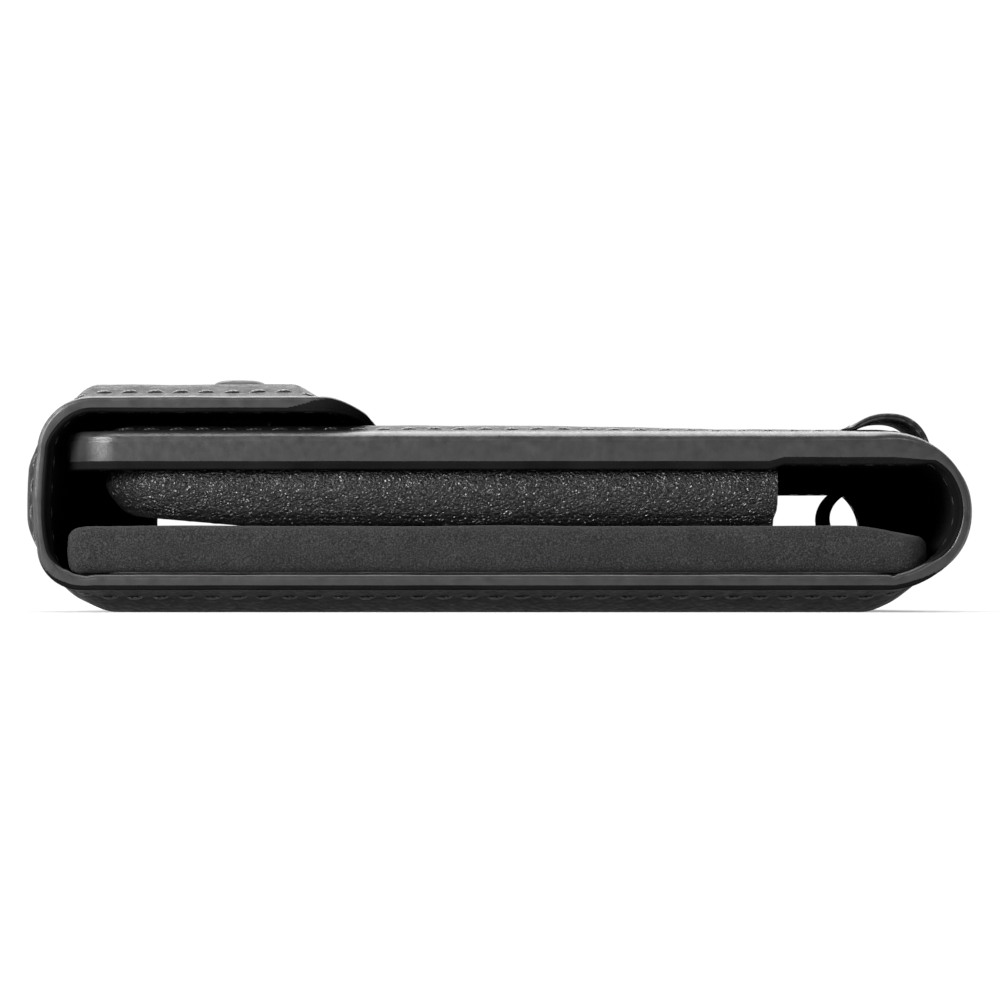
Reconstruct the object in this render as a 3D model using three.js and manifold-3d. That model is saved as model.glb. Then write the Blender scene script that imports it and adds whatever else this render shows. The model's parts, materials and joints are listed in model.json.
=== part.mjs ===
// A phone wallet case: a leather folio with a back cover, a rounded spine, a front cover, a side wall and a
// closing flap that snaps onto the front cover. It lies on its back cover.
//
// Units are millimetres. +X runs from the side wall to the spine, +Y from the end with the strap loop to the
// end with the pen loop, and +Z up through the thickness. The origin is under the middle of the case, on the
// surface that it rests on.
//
// Each cover is a leather skin with a raised, foam-filled middle, a board and a lining. The skins meet at the
// four folds, where the case opens.
import * as THREE from "three";
import { mergeVertices } from "three/addons/utils/BufferGeometryUtils.js";
import Module from "manifold-3d";

const wasm = await Module();
wasm.setup();

// ---------------------------------------------------------------- driving dimensions
const caseLength = 155; // along Y
const coverWidth = 97.5; // between the outer faces of the side wall and the spine, at their sewn edges
const spineRadius = 8.3; // outer radius of the half-round spine
const wallBottomRadius = 4.5; // outer radius of the fold between the back cover and the side wall
const wallTopRadius = 5.8; // outer radius of the fold between the side wall and the flap
const flapGap = 2.1; // from the front cover's sewn edge up to the underside of the flap
const flapReach = 35.2; // from the side wall's outer face to the flap's tip
const flapTip = 3.0; // length of the part of the flap that bends down
const flapTipGap = 0.3; // from the front cover's raised middle up to the flap's tip
const skin = 1.0; // leather thickness
const lining = 0.5; // lining thickness
const layerGap = 0.05; // between layers that are glued together
const foldGap = 0.3; // between the pieces that meet at a fold

const backRise = 2.4; // how far the back cover's raised middle stands out
const frontRise = 0.75;
const flapRise = 1.55;
const sideRise = 1.6; // the same, on the side wall and the spine
const backSlope = 3.6; // width of the sloped border round a raised middle
const frontSlope = 2.5;
const flapSlope = 2.4;
const sideSlope = 1.6;
const backOverhang = 2.6; // how far the back cover's raised middle goes on over the start of the spine
const backWallOverhang = 1.6; // the same, over the start of the side wall's fold
const middleRoot = 0.8; // how far a raised middle reaches down into its leather
const margin = 4.5; // flat sewn edge round each raised middle
const sideMargin = 3.0; // the same, at the ends of the side wall and the spine
const flapTipMargin = 1.2; // from the flap's raised middle to its bent tip
const boardThickness = 1.0;
const flapBoardThickness = 0.4;
const frontGap = 1.0; // between the front cover's free edge and the inside of the side wall
const coverCorner = 6; // corner radius of the front cover and the flap, seen from above
const domeCorner = 5; // corner radius of a raised middle, seen from above

const padHeight = 5.0; // suede pad on the back cover's lining
const padInset = 1.4; // from the side wall's inner face to the pad
const padSpineInset = 2.2; // from the spine's inner face to the pad
const padEndInset = 0.8; // from the ends of the case to the pad
const padRounding = 1.8;
const padCorner = 6;
const padGap = 0.1; // between the pad and the linings that it lies against
const suede = 0.7;
const pocketPanel = 0.55; // thickness of a card pocket's panel
const pocketCount = 3;
const pocketStep = 13; // between the mouths of neighbouring card pockets
const pocketDepth = 58; // from a card pocket's closed end to its mouth, for the first pocket
const pocketBorder = 9; // from the pad's edge to the card pockets

const holderClearance = 0.3; // between the phone holder and the pad
const holderBase = 1.3; // board that the holder is sewn to
const holderWall = 1.3;
const holderFloor = 0.7; // lip under the phone
const holderLip = 4.5; // width of that lip
const holderCorner = 7;
const holderRounding = 1.6;
const holderEndInset = 1.2; // from the ends of the case to the holder
const holderEdgeInset = 4.0; // from the front cover's free edge to the holder
const holderWidth = 71.3;

const snapInset = 19.85; // from the side wall's outer face to the snaps
const snapEndInset = 25; // from the ends of the case to the snaps
const capRadius = 3.1;
const capHeight = 1.2;
const shankRadius = 1.2;
const shankEnd = 0.35; // how far the cap's shank stands out under the flap
const socketHeight = 1.0;
const socketRadius = 3.4;
const socketFootRadius = 2.9;
const socketBore = 2.2;
const socketRim = 0.3; // thickness of the socket's inner rim
const studRadius = 1.6;
const studHeight = 0.8;
const studFlange = 3.1;
const studFlangeTop = 2.95; // radius of the flange's upper face
const studFlangeThickness = 0.2;
const washerRadius = 3.0; // of the washer that clenches the stud under the front cover's leather
const hardwareGap = 0.15; // round a metal part in its hole
// Profiles of the cap and the stud, in shares of their own radius and height.
const capProfile = [[1, 0], [0.97, 0.5], [0.86, 0.85], [0.66, 1]];
const studProfile = [[0.85, 0], [1, 0.6], [0.85, 1]];

const strip = 0.7; // thickness of the loops' leather
const strapLoopWidth = 16;
const strapLoopStart = 3.9; // from the spine's centre to the foot that is sewn down
const strapLoopEnd = 4.3; // from the spine's centre to the other foot
const strapLoopRise = 2.0; // from the front cover's sewn edge to the top of the strap loop
const strapLoopFoot = 3.4; // length of the foot that is sewn down
const strapLoopPull = 2; // how far the loop's curve is drawn on past that foot
const strapLoopCrest = 1; // how far the curve of its outside is drawn up past the loop's top
const penLoopWidth = 15;
const penLoopReach = 4.8; // how far the pen loop stands in from the spine's lining
const penLoopHalfHeight = 4.1;
const penLoopLift = 1.7; // from the spine's centre up to the pen loop's
const penLoopStrip = 1.2;
const loopEndInset = 2.5; // from the ends of the case to the loops

// ---------------------------------------------------------------- places worked out from them
const halfLength = caseLength / 2;
const sheet = skin + layerGap + lining; // leather and lining together
const wallOuterX = -coverWidth / 2;
const wallInnerX = wallOuterX + sheet;
const spineX = coverWidth / 2 - spineRadius; // the spine's centre
const spineInner = spineRadius - sheet; // inner radius of the spine's lining
const backEdgeZ = backRise; // outer face of the back cover's sewn edge
const frontEdgeZ = backEdgeZ + 2 * spineRadius; // outer face of the front cover's sewn edge
const spineZ = backEdgeZ + spineRadius;
const frontTopZ = frontEdgeZ + frontRise;
const boardDrop = boardThickness + layerGap; // how far the front cover's board pushes its lining down
const frontInnerZ = frontEdgeZ - sheet - boardDrop;
const frontFreeX = wallInnerX + frontGap;
const boardEndX = spineX - 2 * boardDrop; // where the lining starts to rise past the board
const flapUnderZ = frontEdgeZ + flapGap;
const flapEdgeZ = flapUnderZ + sheet;
const flapTipX = wallOuterX + flapReach;
const flapFlatEndX = flapTipX - flapTip;
const flapDroop = flapUnderZ - (frontTopZ + flapTipGap); // how far the flap's tip bends down
const wallFlatLowZ = backEdgeZ + wallBottomRadius;
const wallFlatHighZ = flapEdgeZ - wallTopRadius;
const bottomFoldX = wallOuterX + wallBottomRadius;
const topFoldX = wallOuterX + wallTopRadius;
const quarter = Math.PI / 2;
const eighth = Math.PI / 4; // each fold is cut in the middle of its quarter turn

const materials = {
  leather: new THREE.MeshStandardMaterial({ color: 0x161616, roughness: 0.55, metalness: 0 }),
  lining: new THREE.MeshStandardMaterial({ color: 0x101010, roughness: 0.8, metalness: 0 }),
  grain: new THREE.MeshStandardMaterial({ color: 0x121212, roughness: 0.45, metalness: 0 }),
  suede: new THREE.MeshStandardMaterial({ color: 0x1c1c1c, roughness: 0.95, metalness: 0 }),
  foam: new THREE.MeshStandardMaterial({ color: 0x2a2a2a, roughness: 0.9, metalness: 0 }),
  board: new THREE.MeshStandardMaterial({ color: 0x3a3530, roughness: 0.8, metalness: 0 }),
  metal: new THREE.MeshStandardMaterial({ color: 0x2b2b2d, roughness: 0.3, metalness: 0.9 }),
};

// ---------------------------------------------------------------- shapes and solids
// A geometry as a manifold-3d solid.
function solid(geometry) {
  const bare = geometry.clone();
  bare.deleteAttribute("normal");
  bare.deleteAttribute("uv");
  const merged = mergeVertices(bare, 1e-4);
  return new wasm.Manifold(
    new wasm.Mesh({
      numProp: 3,
      vertProperties: new Float32Array(merged.attributes.position.array),
      triVerts: new Uint32Array(merged.index.array),
    }),
  );
}

// A manifold-3d solid as a geometry.
function geometryOf(made) {
  const mesh = made.getMesh();
  const geometry = new THREE.BufferGeometry();
  geometry.setAttribute("position", new THREE.BufferAttribute(mesh.vertProperties, 3));
  geometry.setIndex(new THREE.BufferAttribute(mesh.triVerts, 1));
  return geometry;
}

// A shape drawn in X and Z, drawn out along Y between two places.
function alongY(shape, lowY, highY, curveSegments = 8) {
  const geometry = new THREE.ExtrudeGeometry(shape, {
    depth: highY - lowY,
    bevelEnabled: false,
    curveSegments,
  });
  geometry.rotateX(Math.PI / 2);
  geometry.translate(0, highY, 0);
  return solid(geometry);
}

// A shape drawn in X and Y, drawn out along Z between two heights.
function alongZ(shape, lowZ, highZ, curveSegments = 5) {
  const geometry = new THREE.ExtrudeGeometry(shape, {
    depth: highZ - lowZ,
    bevelEnabled: false,
    curveSegments,
  });
  geometry.translate(0, 0, lowZ);
  return solid(geometry);
}

// A rectangle with its own radius at each corner, anticlockwise from the lowest X and Y.
function roundedRectangle(box, radii) {
  const [a, b, c, d] = Array.isArray(radii) ? radii : [radii, radii, radii, radii];
  const shape = new THREE.Shape();
  shape.moveTo(box.lowX + a, box.lowY);
  shape.lineTo(box.highX - b, box.lowY);
  if (b) shape.absarc(box.highX - b, box.lowY + b, b, -quarter, 0, false);
  shape.lineTo(box.highX, box.highY - c);
  if (c) shape.absarc(box.highX - c, box.highY - c, c, 0, quarter, false);
  shape.lineTo(box.lowX + d, box.highY);
  if (d) shape.absarc(box.lowX + d, box.highY - d, d, quarter, Math.PI, false);
  shape.lineTo(box.lowX, box.lowY + a);
  if (a) shape.absarc(box.lowX + a, box.lowY + a, a, Math.PI, 3 * quarter, false);
  return shape;
}

const shrink = (box, by) => ({
  lowX: box.lowX + by,
  lowY: box.lowY + by,
  highX: box.highX - by,
  highY: box.highY - by,
});

const flipped = (made) => made.mirror([0, 0, 1]);
const raised = (made, z) => made.translate([0, 0, z]);

// A block that fills a box, from depth below height 0 straight up to it, and then in by slope on the way to
// height. One step gives a flat slope, and more give a round edge.
function crowned(box, height, slope, depth, corner, steps = 1) {
  const outline = roundedRectangle(shrink(box, slope), Math.max(corner - slope, 0.5));
  const geometry = new THREE.ExtrudeGeometry(outline, {
    depth: 2 * depth,
    bevelEnabled: true,
    bevelThickness: height,
    bevelSize: slope,
    bevelSegments: steps,
    curveSegments: 4,
  });
  geometry.translate(0, 0, -2 * depth);
  // The extrusion is sloped at both ends, so its lower end is cut off.
  return solid(geometry).intersect(slab(-depth, height + 1));
}

// Everything between two heights.
function slab(lowZ, highZ) {
  const wide = 4 * (caseLength + coverWidth);
  const geometry = new THREE.BoxGeometry(wide, wide, highZ - lowZ);
  geometry.translate(0, 0, (lowZ + highZ) / 2);
  return solid(geometry);
}

// The raised middle of a cover, with the sewn edge's outer face at height 0. The outside is joined to the
// leather, the hollow is cut from it, and the filling fits in the hollow down to the leather's inner face.
function raisedMiddle(box, rise, slope) {
  const hollowBox = shrink(box, skin);
  const fillBox = shrink(hollowBox, layerGap);
  const corner = domeCorner - skin;
  return {
    outside: crowned(box, rise, slope, middleRoot, domeCorner),
    hollow: raised(crowned(hollowBox, rise, slope, skin, corner), -skin),
    filling: raised(crowned(fillBox, rise, slope, layerGap, corner), -skin - layerGap),
  };
}

function cylinder(radius, x, y, lowZ, highZ) {
  return turned([[0, lowZ], [radius, lowZ], [radius, highZ], [0, highZ]], x, y);
}

// A piece turned on an upright axis: points give its radius and height.
function turned(points, x, y) {
  const profile = points.map(([radius, z]) => new THREE.Vector2(radius, z));
  const geometry = new THREE.LatheGeometry(profile, 20);
  geometry.rotateX(quarter);
  geometry.translate(x, y, 0);
  return solid(geometry);
}

function pieceOf(name, made, material) {
  const mesh = new THREE.Mesh(geometryOf(made), materials[material]);
  mesh.name = name;
  return mesh;
}

const snapX = wallOuterX + snapInset;
const snapPlaces = [
  ["near", -halfLength + snapEndInset],
  ["far", halfLength - snapEndInset],
];

// A hole for each snap.
function snapHoles(radius, lowZ, highZ) {
  const [near, far] = snapPlaces.map(([, y]) => cylinder(radius, snapX, y, lowZ, highZ));
  return near.add(far);
}

// ---------------------------------------------------------------- back cover
// A layer of the back cover, between two depths below its outer face: round the start of the side wall's
// fold, flat, and round the start of the spine.
function backLayer(outerDepth, innerDepth) {
  const start = 2 * Math.PI - 3 * eighth + foldGap / 2 / wallBottomRadius;
  const end = -eighth - foldGap / 2 / spineRadius;
  const shape = new THREE.Shape();
  shape.absarc(bottomFoldX, wallFlatLowZ, wallBottomRadius - outerDepth, start, 3 * quarter, false);
  shape.absarc(spineX, spineZ, spineRadius - outerDepth, -quarter, end, false);
  shape.absarc(spineX, spineZ, spineRadius - innerDepth, end, -quarter, true);
  shape.absarc(bottomFoldX, wallFlatLowZ, wallBottomRadius - innerDepth, 3 * quarter, start, true);
  return alongY(shape, -halfLength, halfLength);
}

function backCover() {
  const box = {
    lowX: bottomFoldX - backWallOverhang,
    lowY: -halfLength + margin,
    highX: spineX + backOverhang,
    highY: halfLength - margin,
  };
  const middle = raisedMiddle(box, backRise, backSlope);
  const place = (made) => raised(flipped(made), backEdgeZ);
  const leather = backLayer(0, skin).add(place(middle.outside)).subtract(place(middle.hollow));
  // The board lies on the foam, against the lining.
  const filling = place(middle.filling).intersect(backLayer(-backRise, skin));
  const boardLowZ = backEdgeZ + skin - boardThickness;
  return [
    pieceOf("back_leather", leather, "leather"),
    pieceOf("back_foam", filling.intersect(slab(0, boardLowZ - layerGap)), "foam"),
    pieceOf("back_board", filling.intersect(slab(boardLowZ, backEdgeZ + skin)), "board"),
    pieceOf("back_lining", backLayer(skin + layerGap, sheet), "lining"),
  ];
}

// ---------------------------------------------------------------- suede pad and card pockets
const padBox = {
  lowX: wallInnerX + padInset,
  lowY: -halfLength + padEndInset,
  highX: spineX + spineInner - padSpineInset,
  highY: halfLength - padEndInset,
};
const padLowZ = backEdgeZ + sheet + padGap;
const padTopZ = padLowZ + padHeight;
const pocketStack = pocketCount * (pocketPanel + layerGap);

// The inside of the case between the linings, less a clearance.
function insideCase(clearance) {
  const shape = new THREE.Shape();
  const spineReach = spineInner - clearance;
  const wallReach = wallBottomRadius - sheet - clearance;
  shape.absarc(bottomFoldX, wallFlatLowZ, wallReach, Math.PI, 3 * quarter, false);
  shape.absarc(spineX, spineZ, spineReach, -quarter, 0, false);
  shape.lineTo(spineX + spineReach, frontEdgeZ);
  shape.lineTo(bottomFoldX - wallReach, frontEdgeZ);
  return alongY(shape, -halfLength, halfLength);
}

function pad() {
  // The pad's form, less an inset all round except underneath.
  const form = (inset) =>
    raised(
      crowned(shrink(padBox, inset), padRounding, padRounding, padHeight - padRounding, padCorner - inset, 3),
      padTopZ - padRounding - inset,
    ).intersect(insideCase(padGap + inset));
  // The recess for the card pockets, less an inset.
  const recess = (inset) =>
    alongZ(
      roundedRectangle(shrink(padBox, pocketBorder - inset), 1),
      padTopZ - pocketStack - inset,
      padTopZ + 1,
    );
  // The same, open underneath.
  const inner = (inset) => form(inset).add(raised(form(inset), -suede));
  const boardTopZ = padLowZ + boardThickness;
  const filling = inner(suede + layerGap);
  return [
    pieceOf("pad_suede", form(0).subtract(inner(suede).subtract(recess(suede))).subtract(recess(0)), "suede"),
    pieceOf(
      "pad_foam",
      filling.intersect(slab(boardTopZ + layerGap, padTopZ)).subtract(recess(suede + layerGap)),
      "foam",
    ),
    pieceOf("pad_board", filling.intersect(slab(padLowZ, boardTopZ)), "board"),
  ];
}

// The card pockets' panels lie on each other in the pad's recess, and the lowest reaches furthest.
function cardPockets() {
  const box = shrink(padBox, pocketBorder + layerGap);
  return Array.from({ length: pocketCount }, (_, i) => {
    const lowZ = padTopZ - pocketStack + layerGap / 2 + i * (pocketPanel + layerGap);
    const highY = box.lowY + pocketDepth + (pocketCount - 1 - i) * pocketStep;
    const panel = alongZ(roundedRectangle({ ...box, highY }, 1), lowZ, lowZ + pocketPanel);
    return pieceOf(`card_pocket_${i + 1}`, panel, "leather");
  });
}

// ---------------------------------------------------------------- side wall
// A layer of the side wall, between two depths below its outer face, with half of the fold at each end.
function wallLayer(outerDepth, innerDepth) {
  const low = 5 * eighth - foldGap / 2 / wallBottomRadius;
  const high = 3 * eighth + foldGap / 2 / wallTopRadius;
  const shape = new THREE.Shape();
  shape.absarc(topFoldX, wallFlatHighZ, wallTopRadius - outerDepth, high, Math.PI, false);
  shape.absarc(bottomFoldX, wallFlatLowZ, wallBottomRadius - outerDepth, Math.PI, low, false);
  shape.absarc(bottomFoldX, wallFlatLowZ, wallBottomRadius - innerDepth, low, Math.PI, true);
  shape.absarc(topFoldX, wallFlatHighZ, wallTopRadius - innerDepth, Math.PI, high, true);
  return alongY(shape, -halfLength, halfLength);
}

function sideWall() {
  // The raised middle is drawn lying down, with the wall's height along X, and turned to stand up.
  const box = {
    lowX: wallFlatLowZ - sideSlope / 2,
    lowY: -halfLength + sideMargin,
    highX: wallFlatHighZ + sideSlope / 2,
    highY: halfLength - sideMargin,
  };
  const stand = (made) => made.rotate([0, -90, 0]).translate([wallOuterX, 0, 0]);
  const middle = raisedMiddle(box, sideRise, sideSlope);
  const leather = wallLayer(0, skin).add(stand(middle.outside)).subtract(stand(middle.hollow));
  return [
    pieceOf("wall_leather", leather, "leather"),
    pieceOf("wall_foam", stand(middle.filling), "foam"),
    pieceOf("wall_lining", wallLayer(skin + 2 * layerGap, sheet), "lining"),
  ];
}

// ---------------------------------------------------------------- closing flap
// A layer of the flap, between two depths below its outer face, with half of the fold at its start and the
// tip bent down.
function flapLayer(outerDepth, innerDepth) {
  const start = 3 * eighth - foldGap / 2 / wallTopRadius;
  const outerZ = flapEdgeZ - outerDepth;
  const innerZ = flapEdgeZ - innerDepth;
  const bendX = (flapFlatEndX + flapTipX) / 2;
  const shape = new THREE.Shape();
  shape.absarc(topFoldX, wallFlatHighZ, wallTopRadius - outerDepth, start, quarter, true);
  shape.lineTo(flapFlatEndX, outerZ);
  shape.quadraticCurveTo(bendX, outerZ, flapTipX, outerZ - flapDroop);
  shape.lineTo(flapTipX, innerZ - flapDroop);
  shape.quadraticCurveTo(bendX, innerZ, flapFlatEndX, innerZ);
  shape.absarc(topFoldX, wallFlatHighZ, wallTopRadius - innerDepth, quarter, start, false);
  const plan = { lowX: wallOuterX - 1, lowY: -halfLength, highX: flapTipX, highY: halfLength };
  return alongY(shape, -halfLength, halfLength).intersect(
    alongZ(roundedRectangle(plan, [0, coverCorner, coverCorner, 0]), 0, flapEdgeZ + 1),
  );
}

function flap() {
  const box = {
    lowX: topFoldX - flapSlope / 2,
    lowY: -halfLength + margin,
    highX: flapFlatEndX - flapTipMargin,
    highY: halfLength - margin,
  };
  const middle = raisedMiddle(box, flapRise, flapSlope);
  const place = (made) => raised(made, flapEdgeZ);
  const holes = snapHoles(shankRadius + hardwareGap, flapUnderZ - 1, flapEdgeZ + flapRise + 1);
  const leather = flapLayer(0, skin).add(place(middle.outside)).subtract(place(middle.hollow));
  const filling = place(middle.filling).intersect(flapLayer(-flapRise, skin));
  const boardLowZ = flapEdgeZ - skin;
  const boardHighZ = boardLowZ + flapBoardThickness;
  const foam = filling.intersect(slab(boardHighZ + layerGap, flapEdgeZ + flapRise));
  return [
    pieceOf("flap_leather", leather.subtract(holes), "leather"),
    pieceOf("flap_foam", foam.subtract(holes), "foam"),
    pieceOf("flap_board", filling.intersect(slab(boardLowZ, boardHighZ)).subtract(holes), "board"),
    pieceOf("flap_lining", flapLayer(skin + layerGap, sheet).subtract(holes), "lining"),
  ];
}

// ---------------------------------------------------------------- spine
// Part of the spine between two radii, as far round as an angle each way and as far along as a reach.
function spineSector(outerRadius, innerRadius, angle, reach) {
  const shape = new THREE.Shape();
  shape.absarc(spineX, spineZ, outerRadius, -angle, angle, false);
  shape.absarc(spineX, spineZ, innerRadius, angle, -angle, true);
  return alongY(shape, -reach, reach, 12);
}

function spine() {
  const foldAngle = eighth - foldGap / 2 / spineRadius;
  const raisedAngle = eighth - sideSlope / spineRadius; // the raised middle stops short of the folds
  const raisedReach = halfLength - sideMargin;
  const raisedRadius = spineRadius + sideRise;
  const hollowAngle = raisedAngle - skin / spineRadius;
  const leather = spineSector(spineRadius, spineRadius - skin, foldAngle, halfLength)
    .add(spineSector(raisedRadius, spineRadius - skin / 2, raisedAngle, raisedReach))
    .subtract(
      spineSector(raisedRadius - skin, spineRadius - 2 * skin, hollowAngle, raisedReach - skin),
    );
  const foam = spineSector(
    raisedRadius - skin - layerGap,
    spineRadius - skin,
    hollowAngle - layerGap / spineRadius,
    raisedReach - skin - layerGap,
  );
  const liningLayer = spineSector(spineRadius - skin - layerGap, spineInner, foldAngle, halfLength);
  return [
    pieceOf("spine_leather", leather, "leather"),
    pieceOf("spine_foam", foam, "foam"),
    pieceOf("spine_lining", liningLayer, "lining"),
  ];
}

// The pen loop is a strip bent round, whose two feet are sewn to the spine's lining.
function penLoop() {
  const highY = halfLength - loopEndInset;
  const lowY = highY - penLoopWidth;
  const centreX = spineX + spineInner;
  const centreZ = spineZ + penLoopLift;
  const around = (path, inset) =>
    path.absellipse(centreX, centreZ, penLoopReach - inset, penLoopHalfHeight - inset, 0, 4 * quarter, false);
  const ring = around(new THREE.Shape(), 0);
  ring.holes.push(around(new THREE.Path(), penLoopStrip));
  const inside = new THREE.Shape();
  inside.absarc(spineX, spineZ, spineInner - 2 * layerGap, 0, 4 * quarter, false);
  const made = alongY(ring, lowY, highY, 14).intersect(alongY(inside, lowY, highY, 24));
  return [pieceOf("pen_loop", made, "leather")];
}

// ---------------------------------------------------------------- front cover
// A layer of the front cover, between two depths below its outer face, with half of the spine's fold at its
// end. The flat part may lie lower by a drop, under the board.
function frontLayer(outerDepth, innerDepth, drop) {
  const end = eighth + foldGap / 2 / spineRadius;
  const outerZ = frontEdgeZ - outerDepth - drop;
  const innerZ = frontEdgeZ - innerDepth - drop;
  const shape = new THREE.Shape();
  shape.moveTo(frontFreeX, outerZ);
  shape.lineTo(frontFreeX, innerZ);
  if (drop) shape.lineTo(boardEndX, innerZ);
  shape.absarc(spineX, spineZ, spineRadius - innerDepth, quarter, end, true);
  shape.absarc(spineX, spineZ, spineRadius - outerDepth, end, quarter, false);
  if (drop) shape.lineTo(boardEndX, outerZ);
  const plan = frontPlan(frontFreeX, spineX + spineRadius);
  return alongY(shape, -halfLength, halfLength).intersect(alongZ(plan, 0, frontEdgeZ + 1));
}

// The front cover's outline from above, between two places along X, with its free corners rounded.
function frontPlan(lowX, highX) {
  const box = { lowX, lowY: -halfLength, highX, highY: halfLength };
  return roundedRectangle(box, [coverCorner, 0, 0, coverCorner]);
}

function frontCover() {
  const box = {
    lowX: frontFreeX + margin,
    lowY: -halfLength + margin,
    highX: spineX,
    highY: halfLength - margin,
  };
  const middle = raisedMiddle(box, frontRise, frontSlope);
  const place = (made) => raised(made, frontEdgeZ);
  const innerZ = frontEdgeZ - skin;
  const studHoles = snapHoles(shankRadius + hardwareGap, innerZ, frontTopZ + 1);
  const washerHoles = snapHoles(washerRadius + hardwareGap, innerZ - 1, frontTopZ + 1);
  const leather = frontLayer(0, skin, 0).add(place(middle.outside)).subtract(place(middle.hollow));
  const filling = place(middle.filling).intersect(slab(innerZ, frontTopZ)).subtract(washerHoles);
  const board = alongZ(frontPlan(frontFreeX, boardEndX), innerZ - boardThickness, innerZ - layerGap);
  return [
    pieceOf("front_leather", leather.subtract(studHoles), "leather"),
    pieceOf("front_foam", filling, "foam"),
    pieceOf("front_board", board, "board"),
    pieceOf("front_lining", frontLayer(skin + layerGap, sheet, boardDrop), "lining"),
  ];
}

// The strap loop stands over the corner between the front cover and the spine. One foot is sewn down on the
// cover, and the other meets the leather where it starts to turn down.
function strapLoop() {
  const footX = spineX - strapLoopStart;
  const footZ = frontTopZ + layerGap;
  const endX = spineX + strapLoopEnd;
  const endZ = spineZ + Math.sqrt(spineRadius ** 2 - (strapLoopEnd - strip) ** 2) + 3 * layerGap;
  const topZ = frontEdgeZ + strapLoopRise;
  const crownZ = 2 * topZ - footZ; // the curve's controls lie as far above its top as its foot lies below
  const lowY = -halfLength + loopEndInset;
  const shape = new THREE.Shape();
  shape.moveTo(footX - strapLoopFoot, footZ);
  shape.lineTo(footX, footZ);
  shape.bezierCurveTo(footX + strapLoopPull, crownZ - strip, endX - strip, topZ, endX - strip, endZ);
  shape.lineTo(endX, endZ);
  shape.bezierCurveTo(
    endX, topZ + strapLoopCrest, footX + strapLoopPull, crownZ, footX - strip / 2, footZ + strip,
  );
  shape.lineTo(footX - strapLoopFoot, footZ + strip);
  return [pieceOf("strap_loop", alongY(shape, lowY, lowY + strapLoopWidth, 10), "leather")];
}

// ---------------------------------------------------------------- phone holder
const holderLowZ = padTopZ + holderClearance;
const holderBox = {
  lowX: frontFreeX + holderEdgeInset,
  lowY: -halfLength + holderEndInset,
  highX: frontFreeX + holderEdgeInset + holderWidth,
  highY: halfLength - holderEndInset,
};

// The holder is a face with a window for the screen, on a gusset that is open towards the spine.
function phoneHolder() {
  const baseHighZ = frontInnerZ - layerGap;
  const baseLowZ = baseHighZ - holderBase;
  const wallHighZ = baseLowZ - layerGap;
  const faceHighZ = holderLowZ + holderFloor;
  const straight = wallHighZ - holderLowZ - holderRounding;
  const openEnd = 2 * holderCorner; // the shapes run on past the holder's open end, and are cut off there
  const longer = (box) => ({ ...box, highX: holderBox.highX + openEnd });
  const outside = crowned(longer(holderBox), holderRounding, holderRounding, straight, holderCorner, 3);
  // Something cut out of the holder, as far in from its outside as an inset.
  const cutOut = (inset) =>
    alongZ(
      roundedRectangle(longer(shrink(holderBox, inset)), holderCorner - holderWall),
      holderLowZ - 1,
      wallHighZ + 1,
    );
  const block = raised(flipped(outside), holderLowZ + holderRounding).intersect(
    alongZ(roundedRectangle(holderBox, 0), holderLowZ, wallHighZ),
  );
  const face = block.intersect(slab(0, faceHighZ)).subtract(cutOut(holderWall + holderLip));
  const gusset = block.intersect(slab(faceHighZ + layerGap, wallHighZ)).subtract(cutOut(holderWall));
  return [
    pieceOf("holder_base", alongZ(frontPlan(frontFreeX, holderBox.highX), baseLowZ, baseHighZ), "board"),
    pieceOf("holder_gusset", gusset, "grain"),
    pieceOf("holder_face", face, "grain"),
  ];
}

// ---------------------------------------------------------------- snaps
// A cap on the flap is riveted to the socket under it, and a stud on the front cover is riveted to a washer.
function snap(name, y) {
  const capZ = flapEdgeZ + flapRise + layerGap;
  // A part's profile, from shares of its radius and height.
  const profile = (shares, radius, lowZ, height) => shares.map(([r, h]) => [radius * r, lowZ + height * h]);
  const cap = turned(
    [
      [0, flapUnderZ - shankEnd],
      [shankRadius, flapUnderZ - shankEnd],
      [shankRadius, capZ],
      ...profile(capProfile, capRadius, capZ, capHeight),
      [0, capZ + capHeight],
    ],
    snapX,
    y,
  );
  const socketZ = flapUnderZ - layerGap;
  const rimRadius = shankRadius + hardwareGap;
  const socket = turned(
    [
      [rimRadius, socketZ],
      [rimRadius, socketZ - socketRim],
      [socketBore, socketZ - socketRim],
      [socketBore, socketZ - socketHeight],
      [socketFootRadius, socketZ - socketHeight],
      [socketRadius, socketZ],
      [rimRadius, socketZ],
    ],
    snapX,
    y,
  );
  const studZ = frontTopZ + layerGap;
  const studBaseZ = studZ + studFlangeThickness;
  const washerHighZ = frontTopZ - skin - layerGap;
  const stud = turned(
    [
      [0, washerHighZ + layerGap],
      [shankRadius, washerHighZ + layerGap],
      [shankRadius, studZ],
      [studFlange, studZ],
      [studFlangeTop, studBaseZ],
      ...profile(studProfile, studRadius, studBaseZ, studHeight - studFlangeThickness),
      [0, studZ + studHeight],
    ],
    snapX,
    y,
  );
  const washer = cylinder(washerRadius, snapX, y, frontEdgeZ - skin, washerHighZ);
  return [
    pieceOf(`snap_cap_${name}`, cap, "metal"),
    pieceOf(`snap_socket_${name}`, socket, "metal"),
    pieceOf(`snap_stud_${name}`, stud, "metal"),
    pieceOf(`snap_washer_${name}`, washer, "metal"),
  ];
}

// ---------------------------------------------------------------- the whole case
const walletCase = new THREE.Group();
walletCase.add(
  ...backCover(),
  ...pad(),
  ...cardPockets(),
  ...sideWall(),
  ...flap(),
  ...spine(),
  ...penLoop(),
  ...frontCover(),
  ...strapLoop(),
  ...phoneHolder(),
  ...snapPlaces.flatMap(([name, y]) => snap(name, y)),
);

export default walletCase;
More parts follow.
